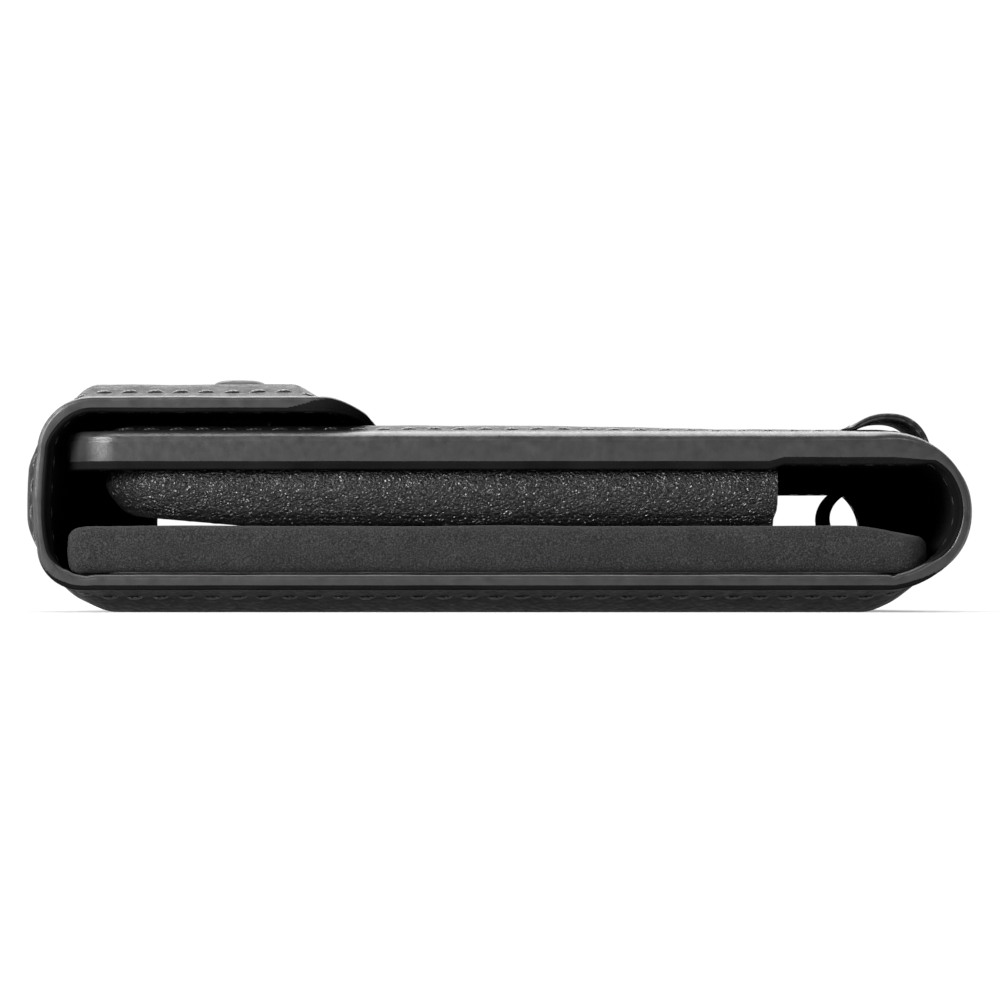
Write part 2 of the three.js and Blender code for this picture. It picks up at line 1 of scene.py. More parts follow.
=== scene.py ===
"""Looks for a phone wallet case: leather, suede, thread and metal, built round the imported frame.

The leather is one long wrap. It starts at the closing flap's tip, goes round the side wall, the back cover
and the spine, and ends at the front cover's free edge. A place on it is given as (s, y, n), in millimetres:
s along the wrap from the flap's tip, y along the case, and n out from the wrap's outer face.
"""

import json
import math

import bmesh
import bpy
import numpy as np
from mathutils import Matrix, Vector


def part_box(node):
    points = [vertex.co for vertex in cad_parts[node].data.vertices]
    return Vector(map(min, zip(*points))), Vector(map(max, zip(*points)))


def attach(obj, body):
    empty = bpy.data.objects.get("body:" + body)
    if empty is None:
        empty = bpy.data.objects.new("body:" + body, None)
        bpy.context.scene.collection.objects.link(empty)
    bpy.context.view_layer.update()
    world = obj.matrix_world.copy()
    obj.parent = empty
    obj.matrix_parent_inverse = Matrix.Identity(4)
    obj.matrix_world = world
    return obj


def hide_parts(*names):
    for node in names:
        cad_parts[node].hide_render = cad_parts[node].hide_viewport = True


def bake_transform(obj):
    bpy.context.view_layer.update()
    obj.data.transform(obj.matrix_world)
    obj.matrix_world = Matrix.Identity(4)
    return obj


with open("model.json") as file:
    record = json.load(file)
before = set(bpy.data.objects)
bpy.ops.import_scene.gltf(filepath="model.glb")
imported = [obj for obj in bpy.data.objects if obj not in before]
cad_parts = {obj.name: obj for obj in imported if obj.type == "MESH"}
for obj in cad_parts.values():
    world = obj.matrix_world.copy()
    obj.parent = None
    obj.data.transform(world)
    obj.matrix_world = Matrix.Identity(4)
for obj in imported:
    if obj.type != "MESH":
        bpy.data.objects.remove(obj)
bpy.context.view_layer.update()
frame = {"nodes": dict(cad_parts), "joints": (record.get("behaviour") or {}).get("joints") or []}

MM = 0.001
ROOT_HALF = math.sqrt(0.5)


# ---------- places, from the frame
def hinge(name):
    """A fold's axis as (x, z), in millimetres."""
    found = next(j for j in frame["joints"] if j["name"] == name)
    return found["pos_m"][0] / MM, found["pos_m"][2] / MM


def box(node):
    """A node's lowest and highest corners, in millimetres."""
    low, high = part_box(node)
    return np.array(low) / MM, np.array(high) / MM


HALF_LENGTH = box("back_lining")[1][1]
spine_hinge_x, spine_low_z = hinge("spine_fold")
spine_high_z = hinge("front_fold")[1]
SPINE_R = (spine_high_z - spine_low_z) * ROOT_HALF
SPINE_X = spine_hinge_x - SPINE_R * ROOT_HALF
SPINE_Z = (spine_low_z + spine_high_z) / 2
BACK_Z = SPINE_Z - SPINE_R
FRONT_Z = SPINE_Z + SPINE_R
LOW_R = (hinge("side_wall_fold")[1] - BACK_Z) / (1 - ROOT_HALF)
WALL_X = hinge("side_wall_fold")[0] - LOW_R * (1 - ROOT_HALF)
TOP_R = (hinge("flap_fold")[0] - WALL_X) / (1 - ROOT_HALF)
FLAP_Z = hinge("flap_fold")[1] + TOP_R * (1 - ROOT_HALF)
TOP_CENTRE = (WALL_X + TOP_R, FLAP_Z - TOP_R)  # of the arc between the flap and the side wall
TIP_X = box("flap_lining")[1][0] - 0.6
TIP_UNDER_Z = box("flap_lining")[0][2] + 0.05
FREE_X = box("front_board")[0][0]

SKIN = 1.0  # leather thickness
SHEET = 1.55  # leather and lining together
BOARD_DROP = FRONT_Z - SHEET - box("front_lining")[0][2]
BASE_LOW, BASE_HIGH = box("holder_base")
TIP_THICKNESS = 0.85  # the flap is pared thinner at its tip
TIP_BEND = 4.6  # length of the flap that bends down to its tip
WALL_BULGE = 0.35  # how far the side wall and the spine bow out in the middle
SPINE_BULGE = 0.55
CORNER = 6.0  # plan radius of the free corners of the flap and the front cover


# ---------- the wrap
def arc(centre, radius, start, end):
    """Points on an arc, two degrees apart, from one angle to another."""
    count = int(abs(end - start) / 2) + 1
    angles = np.radians(np.linspace(start, end, count))
    return [(centre[0] + radius * math.cos(a), centre[1] + radius * math.sin(a)) for a in angles]


def line(start, end):
    """Points on a line, about half a millimetre apart."""
    count = max(2, int(math.dist(start, end) / 0.5) + 1)
    start, end = np.array(start), np.array(end)
    return [tuple(start + (end - start) * t) for t in np.linspace(0, 1, count)]


def bend(*controls):
    """Points on a quadratic curve."""
    a, b, c = map(np.array, controls)
    return [tuple(a * (1 - t) ** 2 + 2 * b * t * (1 - t) + c * t * t) for t in np.linspace(0, 1, 24)]


def dent(v, at, width):
    """1 at a place, falling to 0 on both sides of it."""
    return np.exp(-(((v - at) / width) ** 2))


def run_along(points):
    """The length of a path up to each of its points."""
    return np.concatenate([[0], np.cumsum(np.linalg.norm(np.diff(points, axis=0), axis=1))])


class Wrap:
    """A path in X and Z that leather follows, with its outer side on the right of its way."""

    def __init__(self, *stretches):
        points, self.marks = [stretches[0][0]], [0.0]
        for stretch in stretches:
            points += stretch[1:]
            self.marks.append(len(points) - 1)
        self.points = np.array(points)
        self.s = run_along(self.points)
        self.marks = [float(self.s[int(m)]) for m in self.marks]
        way = np.gradient(self.points, self.s, axis=0)
        self.way = way / np.linalg.norm(way, axis=1)[:, None]
        self.length = float(self.s[-1])

    def place(self, s, y, n):
        """Points in metres. Past either end the wrap runs straight on."""
        s, y, n = np.broadcast_arrays(*(np.asarray(v, float) for v in (s, y, n)))
        held = np.clip(s, 0, self.length)
        x, z = (np.interp(held, self.s, self.points[:, i]) for i in (0, 1))
        dx, dz = (np.interp(held, self.s, self.way[:, i]) for i in (0, 1))
        size = np.hypot(dx, dz)
        dx, dz, past = dx / size, dz / size, s - held
        return np.stack([x + dx * past + dz * n, y, z + dz * past - dx * n], -1) * MM


tip = (TIP_X, TIP_UNDER_Z + TIP_THICKNESS)
flat_end = (TIP_X - TIP_BEND, FLAP_Z)
wrap = Wrap(
    bend(tip, (TIP_X - TIP_BEND * 0.62, FLAP_Z + 0.05), flat_end),
    line(flat_end, (WALL_X + TOP_R, FLAP_Z)),
    arc(TOP_CENTRE, TOP_R, 90, 180),
    bend((WALL_X, FLAP_Z - TOP_R), (WALL_X - 2 * WALL_BULGE, SPINE_Z), (WALL_X, BACK_Z + LOW_R)),
    arc((WALL_X + LOW_R, BACK_Z + LOW_R), LOW_R, 180, 270),
    line((WALL_X + LOW_R, BACK_Z), (SPINE_X, BACK_Z)),
    [
        (x + SPINE_BULGE * ((x - SPINE_X) / SPINE_R) ** 2, z)
        for x, z in arc((SPINE_X, SPINE_Z), SPINE_R, -90, 90)
    ],
    line((SPINE_X, FRONT_Z), (FREE_X, FRONT_Z)),
)
S_TIP, S_FLAT, S_TOP, S_WALL, S_LOW, S_BACK, S_SPINE, S_FRONT, S_FREE = wrap.marks
S_MID_WALL = (S_WALL + S_LOW) / 2
S_MID_BACK = (S_BACK + S_SPINE) / 2
S_MID_SPINE = (S_SPINE + S_FRONT) / 2
S_BASE = S_FRONT + (SPINE_X - BASE_HIGH[0])  # where the phone holder's base begins


def smooth(t):
    t = np.clip(t, 0, 1)
    return t * t * (3 - 2 * t)


def ripple(u, v, scale):
    """A smooth, uneven field from -1 to 1, with features about as long as scale."""
    u, v = np.asarray(u) / scale, np.asarray(v) / scale
    return (
        np.sin(2.1 * u + 1.3 * np.sin(0.9 * v + 0.5))
        + np.sin(1.7 * v + 1.1 * np.sin(1.3 * u + 2.0) + 0.8)
        + np.sin(1.2 * u - 1.9 * v + 3.1)
    ) / 3


def edge_distance(s, y):
    """How far a place on the wrap is from its nearest edge, with round free corners."""
    side = HALF_LENGTH - np.abs(y)
    end = np.minimum(s, wrap.length - s)
    rounded = CORNER - np.hypot(np.maximum(CORNER - end, 0), np.maximum(CORNER - side, 0))
    return np.where((end < CORNER) & (side < CORNER), rounded, np.minimum(side, end))


def reach(s):
    """How far the wrap reaches along y, at s: less at its round free corners."""
    end = np.clip(np.minimum(s, wrap.length - s), 0, CORNER)
    return HALF_LENGTH - (CORNER - np.sqrt(np.maximum(CORNER**2 - (CORNER - end) ** 2, 0)))


# Each padded stretch: where it starts and ends, its rise, and how wide its slopes are along s and along y.
PADS = {
    "flap": (S_FLAT - 0.3, S_TOP + 3.6, 1.55, 3.8, 5.4),
    "side_wall": (S_WALL - 3.4, S_LOW + 2.4, 1.3, 5.6, 5.2),
    "back": (S_BACK - 3.4, S_SPINE + 4.4, BACK_Z, 6.6, 6.4),
    "spine": (S_SPINE + 1.2, S_FRONT - 2.4, 0.65, 9.5, 5.6),
    "front": (S_FRONT - 3.5, S_FREE - 2.6, 0.8, 4.6, 5.0),
}
SLOPE_INSET = 0.8  # from the edge to where the padding's slope starts
BESIDE_SPINE, FULL_AT = 0.4, 45  # the front's share of its rise beside the spine, and where it's full


def swell(s, y):
    """How far the padding pushes the leather out from the wrap."""
    e = edge_distance(s, y)
    total = np.zeros(np.broadcast(s, y).shape)
    for name, (start, end, rise, slope, side_slope) in PADS.items():
        along = smooth((s - start) / slope) * smooth((end - s) / slope)
        across = smooth((e - SLOPE_INSET) / side_slope)
        if name == "front":
            rise = rise * (BESIDE_SPINE + (1 - BESIDE_SPINE) * smooth((s - S_FRONT) / FULL_AT))
        soft = 0 if name == "back" else 0.06 * ripple(s, y, 9)
        total = np.maximum(total, (rise + soft) * along * across)
    return total


STITCH_INSET = 3.5  # from the edge to the line of stitches
STITCH = 2.7  # from one stitch to the next
STITCH_GAP = 0.28  # half of what is left between two stitches
THREAD_R = 0.21


def outer(s, y):
    """The leather's outer face, sunk along the stitches."""
    e = edge_distance(s, y)
    sunk = 0.16 * dent(e, STITCH_INSET, 0.42)
    crease = 0.05 * ripple(s * 1.3, y * 1.3, 3.2) * smooth((e - 0.4) / 1.5)
    resting = (s > S_BACK) & (s < S_SPINE) & (e > 9)
    return swell(s, y) - sunk + np.where(resting, 0, crease)


def drop(s):
    """How far the front cover's board pushes the lining in, which stays flat till it meets the spine's."""
    inner = SPINE_R - SHEET
    turned = np.clip((S_FRONT - s) / SPINE_R, 0, 1.3)
    flat = (inner - BOARD_DROP) / np.cos(turned)
    return 0.5 * (inner - flat + np.sqrt((inner - flat) ** 2 + 0.12**2)) * smooth((1.2 - turned) / 0.3)


def base(s):
    """How far the phone holder's base stands in from the front cover's lining."""
    return (FRONT_Z - SHEET - BOARD_DROP - BASE_LOW[2]) * smooth((s - S_BASE) / 0.8 + 0.5)


def sheet(s):
    """Thickness of the leather and the lining together: less at the flap's pared tip."""
    pared = (SHEET - TIP_THICKNESS) * (1 - smooth(s / TIP_BEND))
    return SHEET - pared


def bare_edge(s):
    """1 round the side wall and the spine, where the lining stops short of the edge, and 0 elsewhere."""
    spans = (S_TOP + 5, S_LOW + 3), (S_SPINE + 5, S_FRONT - 5)
    return np.maximum(*(smooth((s - start) / 4) * smooth((end - s) / 4) for start, end in spans))


# ---------- meshes
def mesh_piece(name, vertices, faces, material, angle=50):
    """A new object with smooth shading, and sharp where faces meet at more than an angle."""
    data = bpy.data.meshes.new(name)
    data.from_pydata([tuple(v) for v in np.asarray(vertices).reshape(-1, 3)], [], faces)
    data.validate()
    data.shade_smooth()
    data.set_sharp_from_angle(angle=math.radians(angle))
    data.materials.append(material)
    made = bpy.data.objects.new(name, data)
    bpy.context.scene.collection.objects.link(made)
    return made


def grid_faces(rows, columns, offset=0, turned=False, closed=False):
    """Faces of a grid of vertices, row after row. A closed grid's last column meets its first."""
    faces = []
    for r in range(rows - 1):
        for c in range(columns if closed else columns - 1):
            d = (c + 1) % columns
            quad = (r * columns + c, (r + 1) * columns + c, (r + 1) * columns + d, r * columns + d)
            faces.append(tuple(offset + v for v in (quad[::-1] if turned else quad)))
    return faces


def closed_sheet(outside, inside):
    """Vertices and faces of a sheet between two grids of points of the same shape."""
    rows, columns = outside.shape[:2]
    vertices = np.concatenate([outside.reshape(-1, 3), inside.reshape(-1, 3)])
    under = rows * columns
    faces = grid_faces(rows, columns) + grid_faces(rows, columns, under, turned=True)
    rim = list(range(columns))
    rim += [r * columns + columns - 1 for r in range(1, rows)]
    rim += [(rows - 1) * columns + c for c in range(columns - 2, -1, -1)]
    rim += [r * columns for r in range(rows - 2, 0, -1)]
    for a, b in zip(rim, rim[1:] + rim[:1]):
        faces.append((a, b, under + b, under + a))
    return vertices, faces


def swept(stations, loop=False):
    """Vertices and faces of a tube through rings of points, with flat ends unless it loops."""
    stations = np.asarray(stations)
    count, around = stations.shape[:2]
    faces = grid_faces(count, around, closed=True)
    if loop:
        last = (count - 1) * around
        faces += [(last + c, c, (c + 1) % around, last + (c + 1) % around) for c in range(around)]
    else:
        faces.append(tuple(range(around)))
        faces.append(tuple((count - 1) * around + c for c in range(around - 1, -1, -1)))
    return stations.reshape(-1, 3), faces


def joined(parts):
    """Several (vertices, faces) as one."""
    vertices, faces, offset = [], [], 0
    for v, f in parts:
        vertices.append(np.asarray(v).reshape(-1, 3))
        faces += [tuple(offset + i for i in face) for face in f]
        offset += len(vertices[-1])
    return np.concatenate(vertices), faces


def outwards(made):
    """Turns a closed piece's faces to point out."""
    b = bmesh.new()
    b.from_mesh(made.data)
    bmesh.ops.recalc_face_normals(b, faces=b.faces)
    b.to_mesh(made.data)
    b.free()
    return made


# ---------- materials
SPAN_KEYS = ("From Min", "From Max", "To Min", "To Max")


class Nodes:
    """A material's node tree, built by short calls."""

    def __init__(self, name, color, roughness, specular=0.5, sheen=0.0):
        self.material = bpy.data.materials.new(name)
        self.material.use_nodes = True
        self.tree = self.material.node_tree
        self.shader = self.tree.nodes["Principled BSDF"]
        keys = ("Base Color", "Roughness", "Specular IOR Level", "Sheen Weight")
        for key, value in zip(keys, ((*color, 1), roughness, specular, sheen)):
            self.set(self.shader, key, value)
        self.place = self.add("ShaderNodeTexCoord").outputs["Object"]
        self.normal = None

    def add(self, kind, settings=None, **inputs):
        node = self.tree.nodes.new(kind)
        for key, value in (settings or {}).items():
            setattr(node, key, value)
        for key, value in inputs.items():
            self.set(node, key.replace("_", " "), value)
        return node

    def set(self, node, key, value):
        if isinstance(value, bpy.types.NodeSocket):
            self.tree.links.new(value, node.inputs[key])
        else:
            node.inputs[key].default_value = value

    def noise(self, size, detail, output="Fac"):
        """Noise with features about size millimetres across."""
        node = self.add("ShaderNodeTexNoise", Vector=self.place, Scale=1 / (size * MM), Detail=detail)
        return node.outputs[output]

    def vector(self, operation, first, second):
        node = self.add("ShaderNodeVectorMath", {"operation": operation})
        self.set(node, 0, first)
        self.set(node, 1, second)
        return node.outputs[0]

    def warped(self, size, by):
        """The place, pushed about by noise, in millimetres."""
        centred = self.vector("SUBTRACT", self.noise(size, 2.0, "Color"), (0.5, 0.5, 0.5))
        return self.vector("ADD", self.place, self.vector("MULTIPLY", centred, (by * MM,) * 3))

    def cells(self, size, feature="F1", at=None, randomness=1.0):
        """Distance in a pattern of cells about size millimetres across."""
        inputs = {"Vector": at or self.place, "Scale": 1 / (size * MM), "Randomness": randomness}
        return self.add("ShaderNodeTexVoronoi", {"feature": feature}, **inputs).outputs["Distance"]

    def span(self, value, low, high, to_low=0.0, to_high=1.0):
        node = self.add("ShaderNodeMapRange", Value=value)
        for key, number in zip(SPAN_KEYS, (low, high, to_low, to_high)):
            self.set(node, key, number)
        return node.outputs["Result"]

    def bump(self, height, depth):
        """Adds relief, depth millimetres deep."""
        node = self.add("ShaderNodeBump", Height=height, Distance=depth * MM, Strength=1.0)
        if self.normal:
            self.set(node, "Normal", self.normal)
        self.normal = node.outputs["Normal"]
        self.set(self.shader, "Normal", self.normal)

    def colors(self, value, *stops):
        """Colours the piece by a value: stops are (value, grey) or (value, (r, g, b))."""
        ramp = self.add("ShaderNodeValToRGB", Fac=value)
        elements = ramp.color_ramp.elements
        for i, (at, color) in enumerate(stops):
            element = elements[i] if i < 2 else elements.new(at)
            element.position = at
            element.color = (*((color,) * 3 if isinstance(color, float) else color), 1)
        self.set(self.shader, "Base Color", ramp.outputs["Color"])

    def roughness(self, value, low, high):
        self.set(self.shader, "Roughness", self.span(value, 0.3, 0.7, low, high))


def outer_leather():
    """Black full-grain leather, embossed with small round pebbles."""
    m = Nodes("outer_leather", (0.01, 0.01, 0.0105), 0.55, specular=0.28)
    warped = m.warped(1.6, 0.35)
    pebbles = m.cells(0.62, "SMOOTH_F1", warped, 0.85)
    m.bump(m.span(pebbles, 0.15, 0.75, 1.0, 0.0), 0.13)
    m.bump(m.noise(0.16, 4), 0.015)
    m.colors(m.noise(6, 5), (0.3, 0.007), (0.7, 0.014))
    m.roughness(m.noise(1.1, 4), 0.46, 0.66)
    return m.material


def grained_leather():
    """Soft black leather with a natural grain: small plump cells between fine creases."""
    m = Nodes("grained_leather", (0.018, 0.018, 0.019), 0.4, specular=0.6)
    warped = m.warped(1.1, 0.5)
    creases = m.cells(0.55, "DISTANCE_TO_EDGE", warped)
    small = m.cells(0.3, "DISTANCE_TO_EDGE", warped)
    m.bump(m.span(creases, 0.0, 0.3), 0.12)
    m.bump(m.span(small, 0.0, 0.25), 0.06)
    m.bump(m.noise(2.6, 3), 0.1)
    m.colors(m.noise(3.0, 5), (0.3, 0.004), (0.75, 0.009))
    m.roughness(m.noise(0.7, 4), 0.26, 0.4)
    return m.material


def lining_leather():
    """Thin, smooth black leather with a fine grain."""
    m = Nodes("lining_leather", (0.006, 0.006, 0.006), 0.8, specular=0.0)
    m.bump(m.span(m.cells(0.34, "F1", m.warped(0.9, 0.2)), 0.1, 0.8, 1.0, 0.0), 0.02)
    m.bump(m.noise(3.5, 3), 0.06)
    m.colors(m.noise(5, 5), (0.3, 0.005), (0.7, 0.009))
    m.roughness(m.noise(0.9, 4), 0.72, 0.88)
    return m.material


def edge_paint():
    """Sealed leather edge: satin paint over fine fibres, a little uneven along its length."""
    m = Nodes("edge_paint", (0.05, 0.05, 0.052), 0.4, specular=0.5)
    m.bump(m.noise(3.2, 3), 0.09)
    m.bump(m.noise(0.22, 5), 0.014)
    m.colors(m.noise(1.8, 6), (0.3, 0.015), (0.75, 0.027))
    m.roughness(m.noise(0.8, 5), 0.3, 0.44)
    return m.material


def suede():
    """Charcoal microsuede: short fibres with a soft sheen and slight brush marks."""
    m = Nodes("suede", (0.025, 0.025, 0.025), 0.95, specular=0.1, sheen=0.1)
    m.set(m.shader, "Sheen Roughness", 0.5)
    fibres = m.noise(0.15, 8)
    m.bump(fibres, 0.12)
    m.bump(m.noise(1.3, 4), 0.05)
    mixed = m.add("ShaderNodeMix", {"data_type": "FLOAT"}, Factor=0.12)
    m.set(mixed, 2, fibres)
    m.set(mixed, 3, m.noise(3.0, 5))
    m.colors(mixed.outputs[0], (0.34, 0.006), (0.5, 0.019), (0.66, 0.048))
    return m.material


def thread():
    """Black waxed thread with a twist."""
    m = Nodes("thread", (0.05, 0.05, 0.051), 0.45, specular=0.55)
    bands = {"wave_type": "BANDS", "bands_direction": "DIAGONAL"}
    twist = m.add("ShaderNodeTexWave", bands, Vector=m.place, Scale=1 / (0.9 * MM), Distortion=1.0)
    m.bump(twist.outputs["Fac"], 0.05)
    m.colors(m.noise(0.5, 4), (0.3, 0.012), (0.7, 0.04))
    m.roughness(m.noise(0.3, 3), 0.3, 0.46)
    return m.material


def snap_metal():
    """Black lacquered metal, lightly handled."""
    m = Nodes("snap_metal", (0.03, 0.03, 0.032), 0.45, specular=0.05)
    m.bump(m.noise(0.12, 3), 0.004)
    m.colors(m.noise(1.4, 5), (0.3, 0.016), (0.7, 0.03))
    m.roughness(m.noise(0.5, 5), 0.26, 0.4)
    return m.material


def foam():
    """Open-cell foam."""
    m = Nodes("foam", (0.05, 0.05, 0.05), 0.95, specular=0.1)
    m.bump(m.cells(0.5), 0.15)
    m.colors(m.noise(0.6, 5), (0.3, 0.03), (0.7, 0.07))
    return m.material


def board():
    """Grey fibre board."""
    m = Nodes("board", (0.05, 0.047, 0.044), 0.85, specular=0.2)
    m.bump(m.noise(0.25, 6), 0.03)
    m.colors(m.noise(0.8, 6), (0.3, (0.035, 0.033, 0.031)), (0.7, (0.065, 0.06, 0.055)))
    return m.material


LEATHER, GRAIN, LINING, EDGE = outer_leather(), grained_leather(), lining_leather(), edge_paint()
SUEDE, THREAD, METAL, FOAM, BOARD = suede(), thread(), snap_metal(), foam(), board()


# ---------- the wrap's pieces
# Each piece of the wrap crosses one fold: where it starts and ends, its two bodies, the points between which
# it bends, and the CAD nodes that its leather and lining stand for.
SPINE_TURN = math.radians(22)  # from the spine's middle to where it starts to bend, each way
turn_x, turn_z = SPINE_X + SPINE_R * math.cos(SPINE_TURN), SPINE_R * math.sin(SPINE_TURN)
# The flap's bend points lie above the front cover's edge only, where its lining would stay clear of it.
# Angles on its arc.
FLAP_BEND = [arc(TOP_CENTRE, TOP_R, angle, angle)[0] for angle in (105, 138)]
STRETCHES = {
    "flap": (
        S_TIP, S_MID_WALL, ("flap", "side_wall"), *FLAP_BEND, "flap_leather", "flap_lining",
    ),
    "side_wall": (
        S_MID_WALL, S_MID_BACK, ("side_wall", "back_cover"),
        (WALL_X, BACK_Z + LOW_R), (WALL_X + LOW_R, BACK_Z), "wall_leather", "wall_lining",
    ),
    "back_cover": (
        S_MID_BACK, S_MID_SPINE, ("back_cover", "spine"),
        (SPINE_X, BACK_Z), (turn_x, SPINE_Z - turn_z), "back_leather", "back_lining",
    ),
    "front_cover": (
        S_MID_SPINE, S_FREE, ("spine", "front_cover"),
        (turn_x, SPINE_Z + turn_z), (SPINE_X, FRONT_Z), "front_leather", "front_lining",
    ),
}


def bends(made, stretch):
    """Bakes a piece's placement into its mesh; the piece does not bend over its stretch's fold."""
    _, _, bodies, start, end, *_ = STRETCHES[stretch]
    start, end = ((x * MM, 0, z * MM) for x, z in (start, end))
    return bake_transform(made)


def s_samples(start, end):
    """Places along a stretch: close together on folds, slopes and round corners, and wider on flat parts."""
    found = [start, end, *wrap.marks]
    close = [(S_TIP, S_FLAT + 4), (S_TOP - 4, S_WALL + 2), (S_LOW - 3, S_BACK + 4)]
    close += [(S_SPINE - 3, S_FRONT + 5), (S_FREE - 10, S_FREE)]
    for low, high in close:
        found += list(np.arange(low, high, 0.45))
    for tip_s, way in ((S_TIP, 1), (S_FREE, -1)):
        found += [tip_s + way * CORNER * (1 - math.cos(a)) for a in np.linspace(0, math.pi / 2, 14)]
    found += list(np.arange(0, wrap.length, 1.6))
    kept = np.unique(np.round([f for f in found if start <= f <= end], 4))
    spaced = kept[np.concatenate([[True], np.diff(kept) > 0.03])]
    return spaced if spaced[-1] == kept[-1] else np.append(spaced, kept[-1])


def y_offsets():
    """Distances in from the case's end: close together over the sewn edge and the slope."""
    near = [*np.arange(0, 3.6, 0.2), *np.arange(3.6, 9, 0.45), 10, 12, 14.5, 17.5, 21, 25]
    return np.array([*near, *np.arange(29, HALF_LENGTH, 3.5)])


def wrap_grid(start, end, inset=0.0, setback=None):
    """Places on a stretch as two grids, s and y, that stop short of the edges by an inset, and by a further
    setback(s) at the ends of the case."""
    s = s_samples(start, end)
    s = np.clip(s, S_TIP + inset, S_FREE - inset)
    offsets = y_offsets()
    limit = reach(np.clip(s, S_TIP + 0.02, S_FREE - 0.02)) - inset
    if setback:
        limit = limit - setback(s)
    offsets = offsets[None, :] * (limit / (HALF_LENGTH - inset))[:, None]
    low = -limit[:, None] + offsets
    y = np.concatenate([low, np.zeros((len(s), 1)), -low[:, ::-1]], 1)
    return np.broadcast_to(s[:, None], y.shape), y


def layer(kind, stretch, material, node, s, y, top, under):
    """A layer of the wrap between two heights, on a grid of places."""
    vertices, faces = closed_sheet(wrap.place(s, y, top), wrap.place(s, y, under))
    made = mesh_piece(f"{kind}_{stretch}", vertices, faces, material)
    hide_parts(node)
    if stretch == "front_cover":
        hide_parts(f"spine_{kind}")
    return bends(made, stretch)


def leather_skin(stretch):
    start, end, *_, leather_node, _ = STRETCHES[stretch]
    s, y = wrap_grid(start, end, 0.4, lambda s: CHAMFER * fat_edge(stretch, s))
    n = outer(s, y)
    thickness = np.minimum(SKIN, sheet(s) * 0.6)
    return layer("leather", stretch, LEATHER, leather_node, s, y, n, n - thickness)


def lining_sheet(stretch):
    start, end, *_, lining_node = STRETCHES[stretch]
    s, y = wrap_grid(start, end, 0.42, lambda s: 1.1 * bare_edge(s))
    sunk = 0.1 * dent(edge_distance(s, y), STITCH_INSET, 0.4)
    under = -sheet(s) - drop(s) + 0.03 * ripple(s, y, 5) + sunk
    top = -np.minimum(SKIN, sheet(s) * 0.6) - drop(s) * 0.98 - 0.02
    return layer("lining", stretch, LINING, lining_node, s, y, top, under)


def boundary(start, end):
    """The wrap's edge along a stretch, as lists of (s, y, outward s, outward y). A stretch with a free end
    has one edge that runs right round it; the others have one at each end of the case."""
    s = s_samples(start, end)
    if start > S_TIP and end < S_FREE:
        return [[(v, side * HALF_LENGTH, 0, side) for v in s] for side in (-1, 1)]
    way, free = (1, S_TIP) if start == S_TIP else (-1, S_FREE)
    straight = [v for v in s if abs(v - free) > CORNER + 0.05][::-way]
    near = [(v, -HALF_LENGTH, 0, -1) for v in straight]
    corner = []
    for a in np.linspace(0, math.pi / 2, 16):
        out_s, out_y = -way * math.sin(a), -math.cos(a)
        middle_s, middle_y = free + way * CORNER, -HALF_LENGTH + CORNER
        corner.append((middle_s + CORNER * out_s, middle_y + CORNER * out_y, out_s, out_y))
    count = int((HALF_LENGTH - CORNER) / 1.2)
    across = [(free, y, -way, 0) for y in np.linspace(-HALF_LENGTH + CORNER, 0, count)[1:]]
    half = near + corner + across
    mirrored = [(v, -y, out_s, -out_y) for v, y, out_s, out_y in reversed(half[:-1])]
    return [half + mirrored]


CHAMFER, CHAMFER_DEPTH = 0.6, 0.85  # how far the front cover's fat bead leans back, and over what depth
FULLNESS = 0.07  # how far an edge's middle stands out from its ends
SIDE_STEPS, TURN_STEPS = 28, 8  # points on the profile's straight side, and on each of its round ends
SHADED_RIM_COLUMNS, TOP_COLUMNS, SHADED_TIP_COLUMNS = 13, 5, 26  # black columns of painted shade on the back cover's rim and at the flap's tip, and the grey ones kept there; see painted()


def fat_edge(stretch, s):
    """How far the front cover's fat bead has taken over from the other stretches' thin ones."""
    return smooth((s - S_FRONT + 6) / 8) if stretch == "front_cover" else 0.0 * s


def painted(s):
    """The first grey column of an edge's rings, and the first black one after it. The black is painted shade,
    darkening the lining's part, most of the flap's tip, and on the back cover the leather's rim instead of
    the lining's part."""
    back = smooth((s - S_LOW) / 6) * smooth((S_SPINE + 8 - s) / 6)
    return SHADED_RIM_COLUMNS * back, TOP_COLUMNS + SHADED_TIP_COLUMNS * smooth((s - 4.5) / 5) + (SHADED_RIM_COLUMNS + 1) * back


def rim(high, low, round_off, chamfer, creases):
    """Profile of an edge as (out, n), from its highest n to its lowest: round at both ends, a little full in
    the middle, with a chamfer at the top and shallow creases, each given as (n, depth, width)."""
    turn = np.linspace(0, math.pi / 2, TURN_STEPS)
    round_n, round_out = round_off * (1 - np.cos(turn)), round_off * (np.sin(turn) - 1)
    straight = np.linspace(high - round_off, low + round_off, SIDE_STEPS + 2)[1:-1]
    n = np.concatenate([high - round_n, straight, (low + round_n)[::-1]])
    out = np.concatenate([round_out, np.zeros(SIDE_STEPS), round_out[::-1]])
    out = out - FULLNESS * ((2 * n - high - low) / (high - low)) ** 2
    out = out - chamfer * np.clip((n - high + CHAMFER_DEPTH) / CHAMFER_DEPTH, 0, 1) ** 1.4
    for at, depth, width in creases:
        out = out - depth * dent(n, at, width)
    return np.append(out, (-1.0, -1.0)), np.append(n, (low + 0.2, high - 0.2))


def kinked(s):
    """Small kinks in the lining's edge, just past each fold of the back cover."""
    kinks = ((S_BACK + 0.6, 0.16, 0.55), (S_BACK - 2.0, -0.14, 0.7), (S_SPINE + 0.9, 0.22, 0.35))
    return sum(size * dent(s, at, width) for at, size, width in kinks)


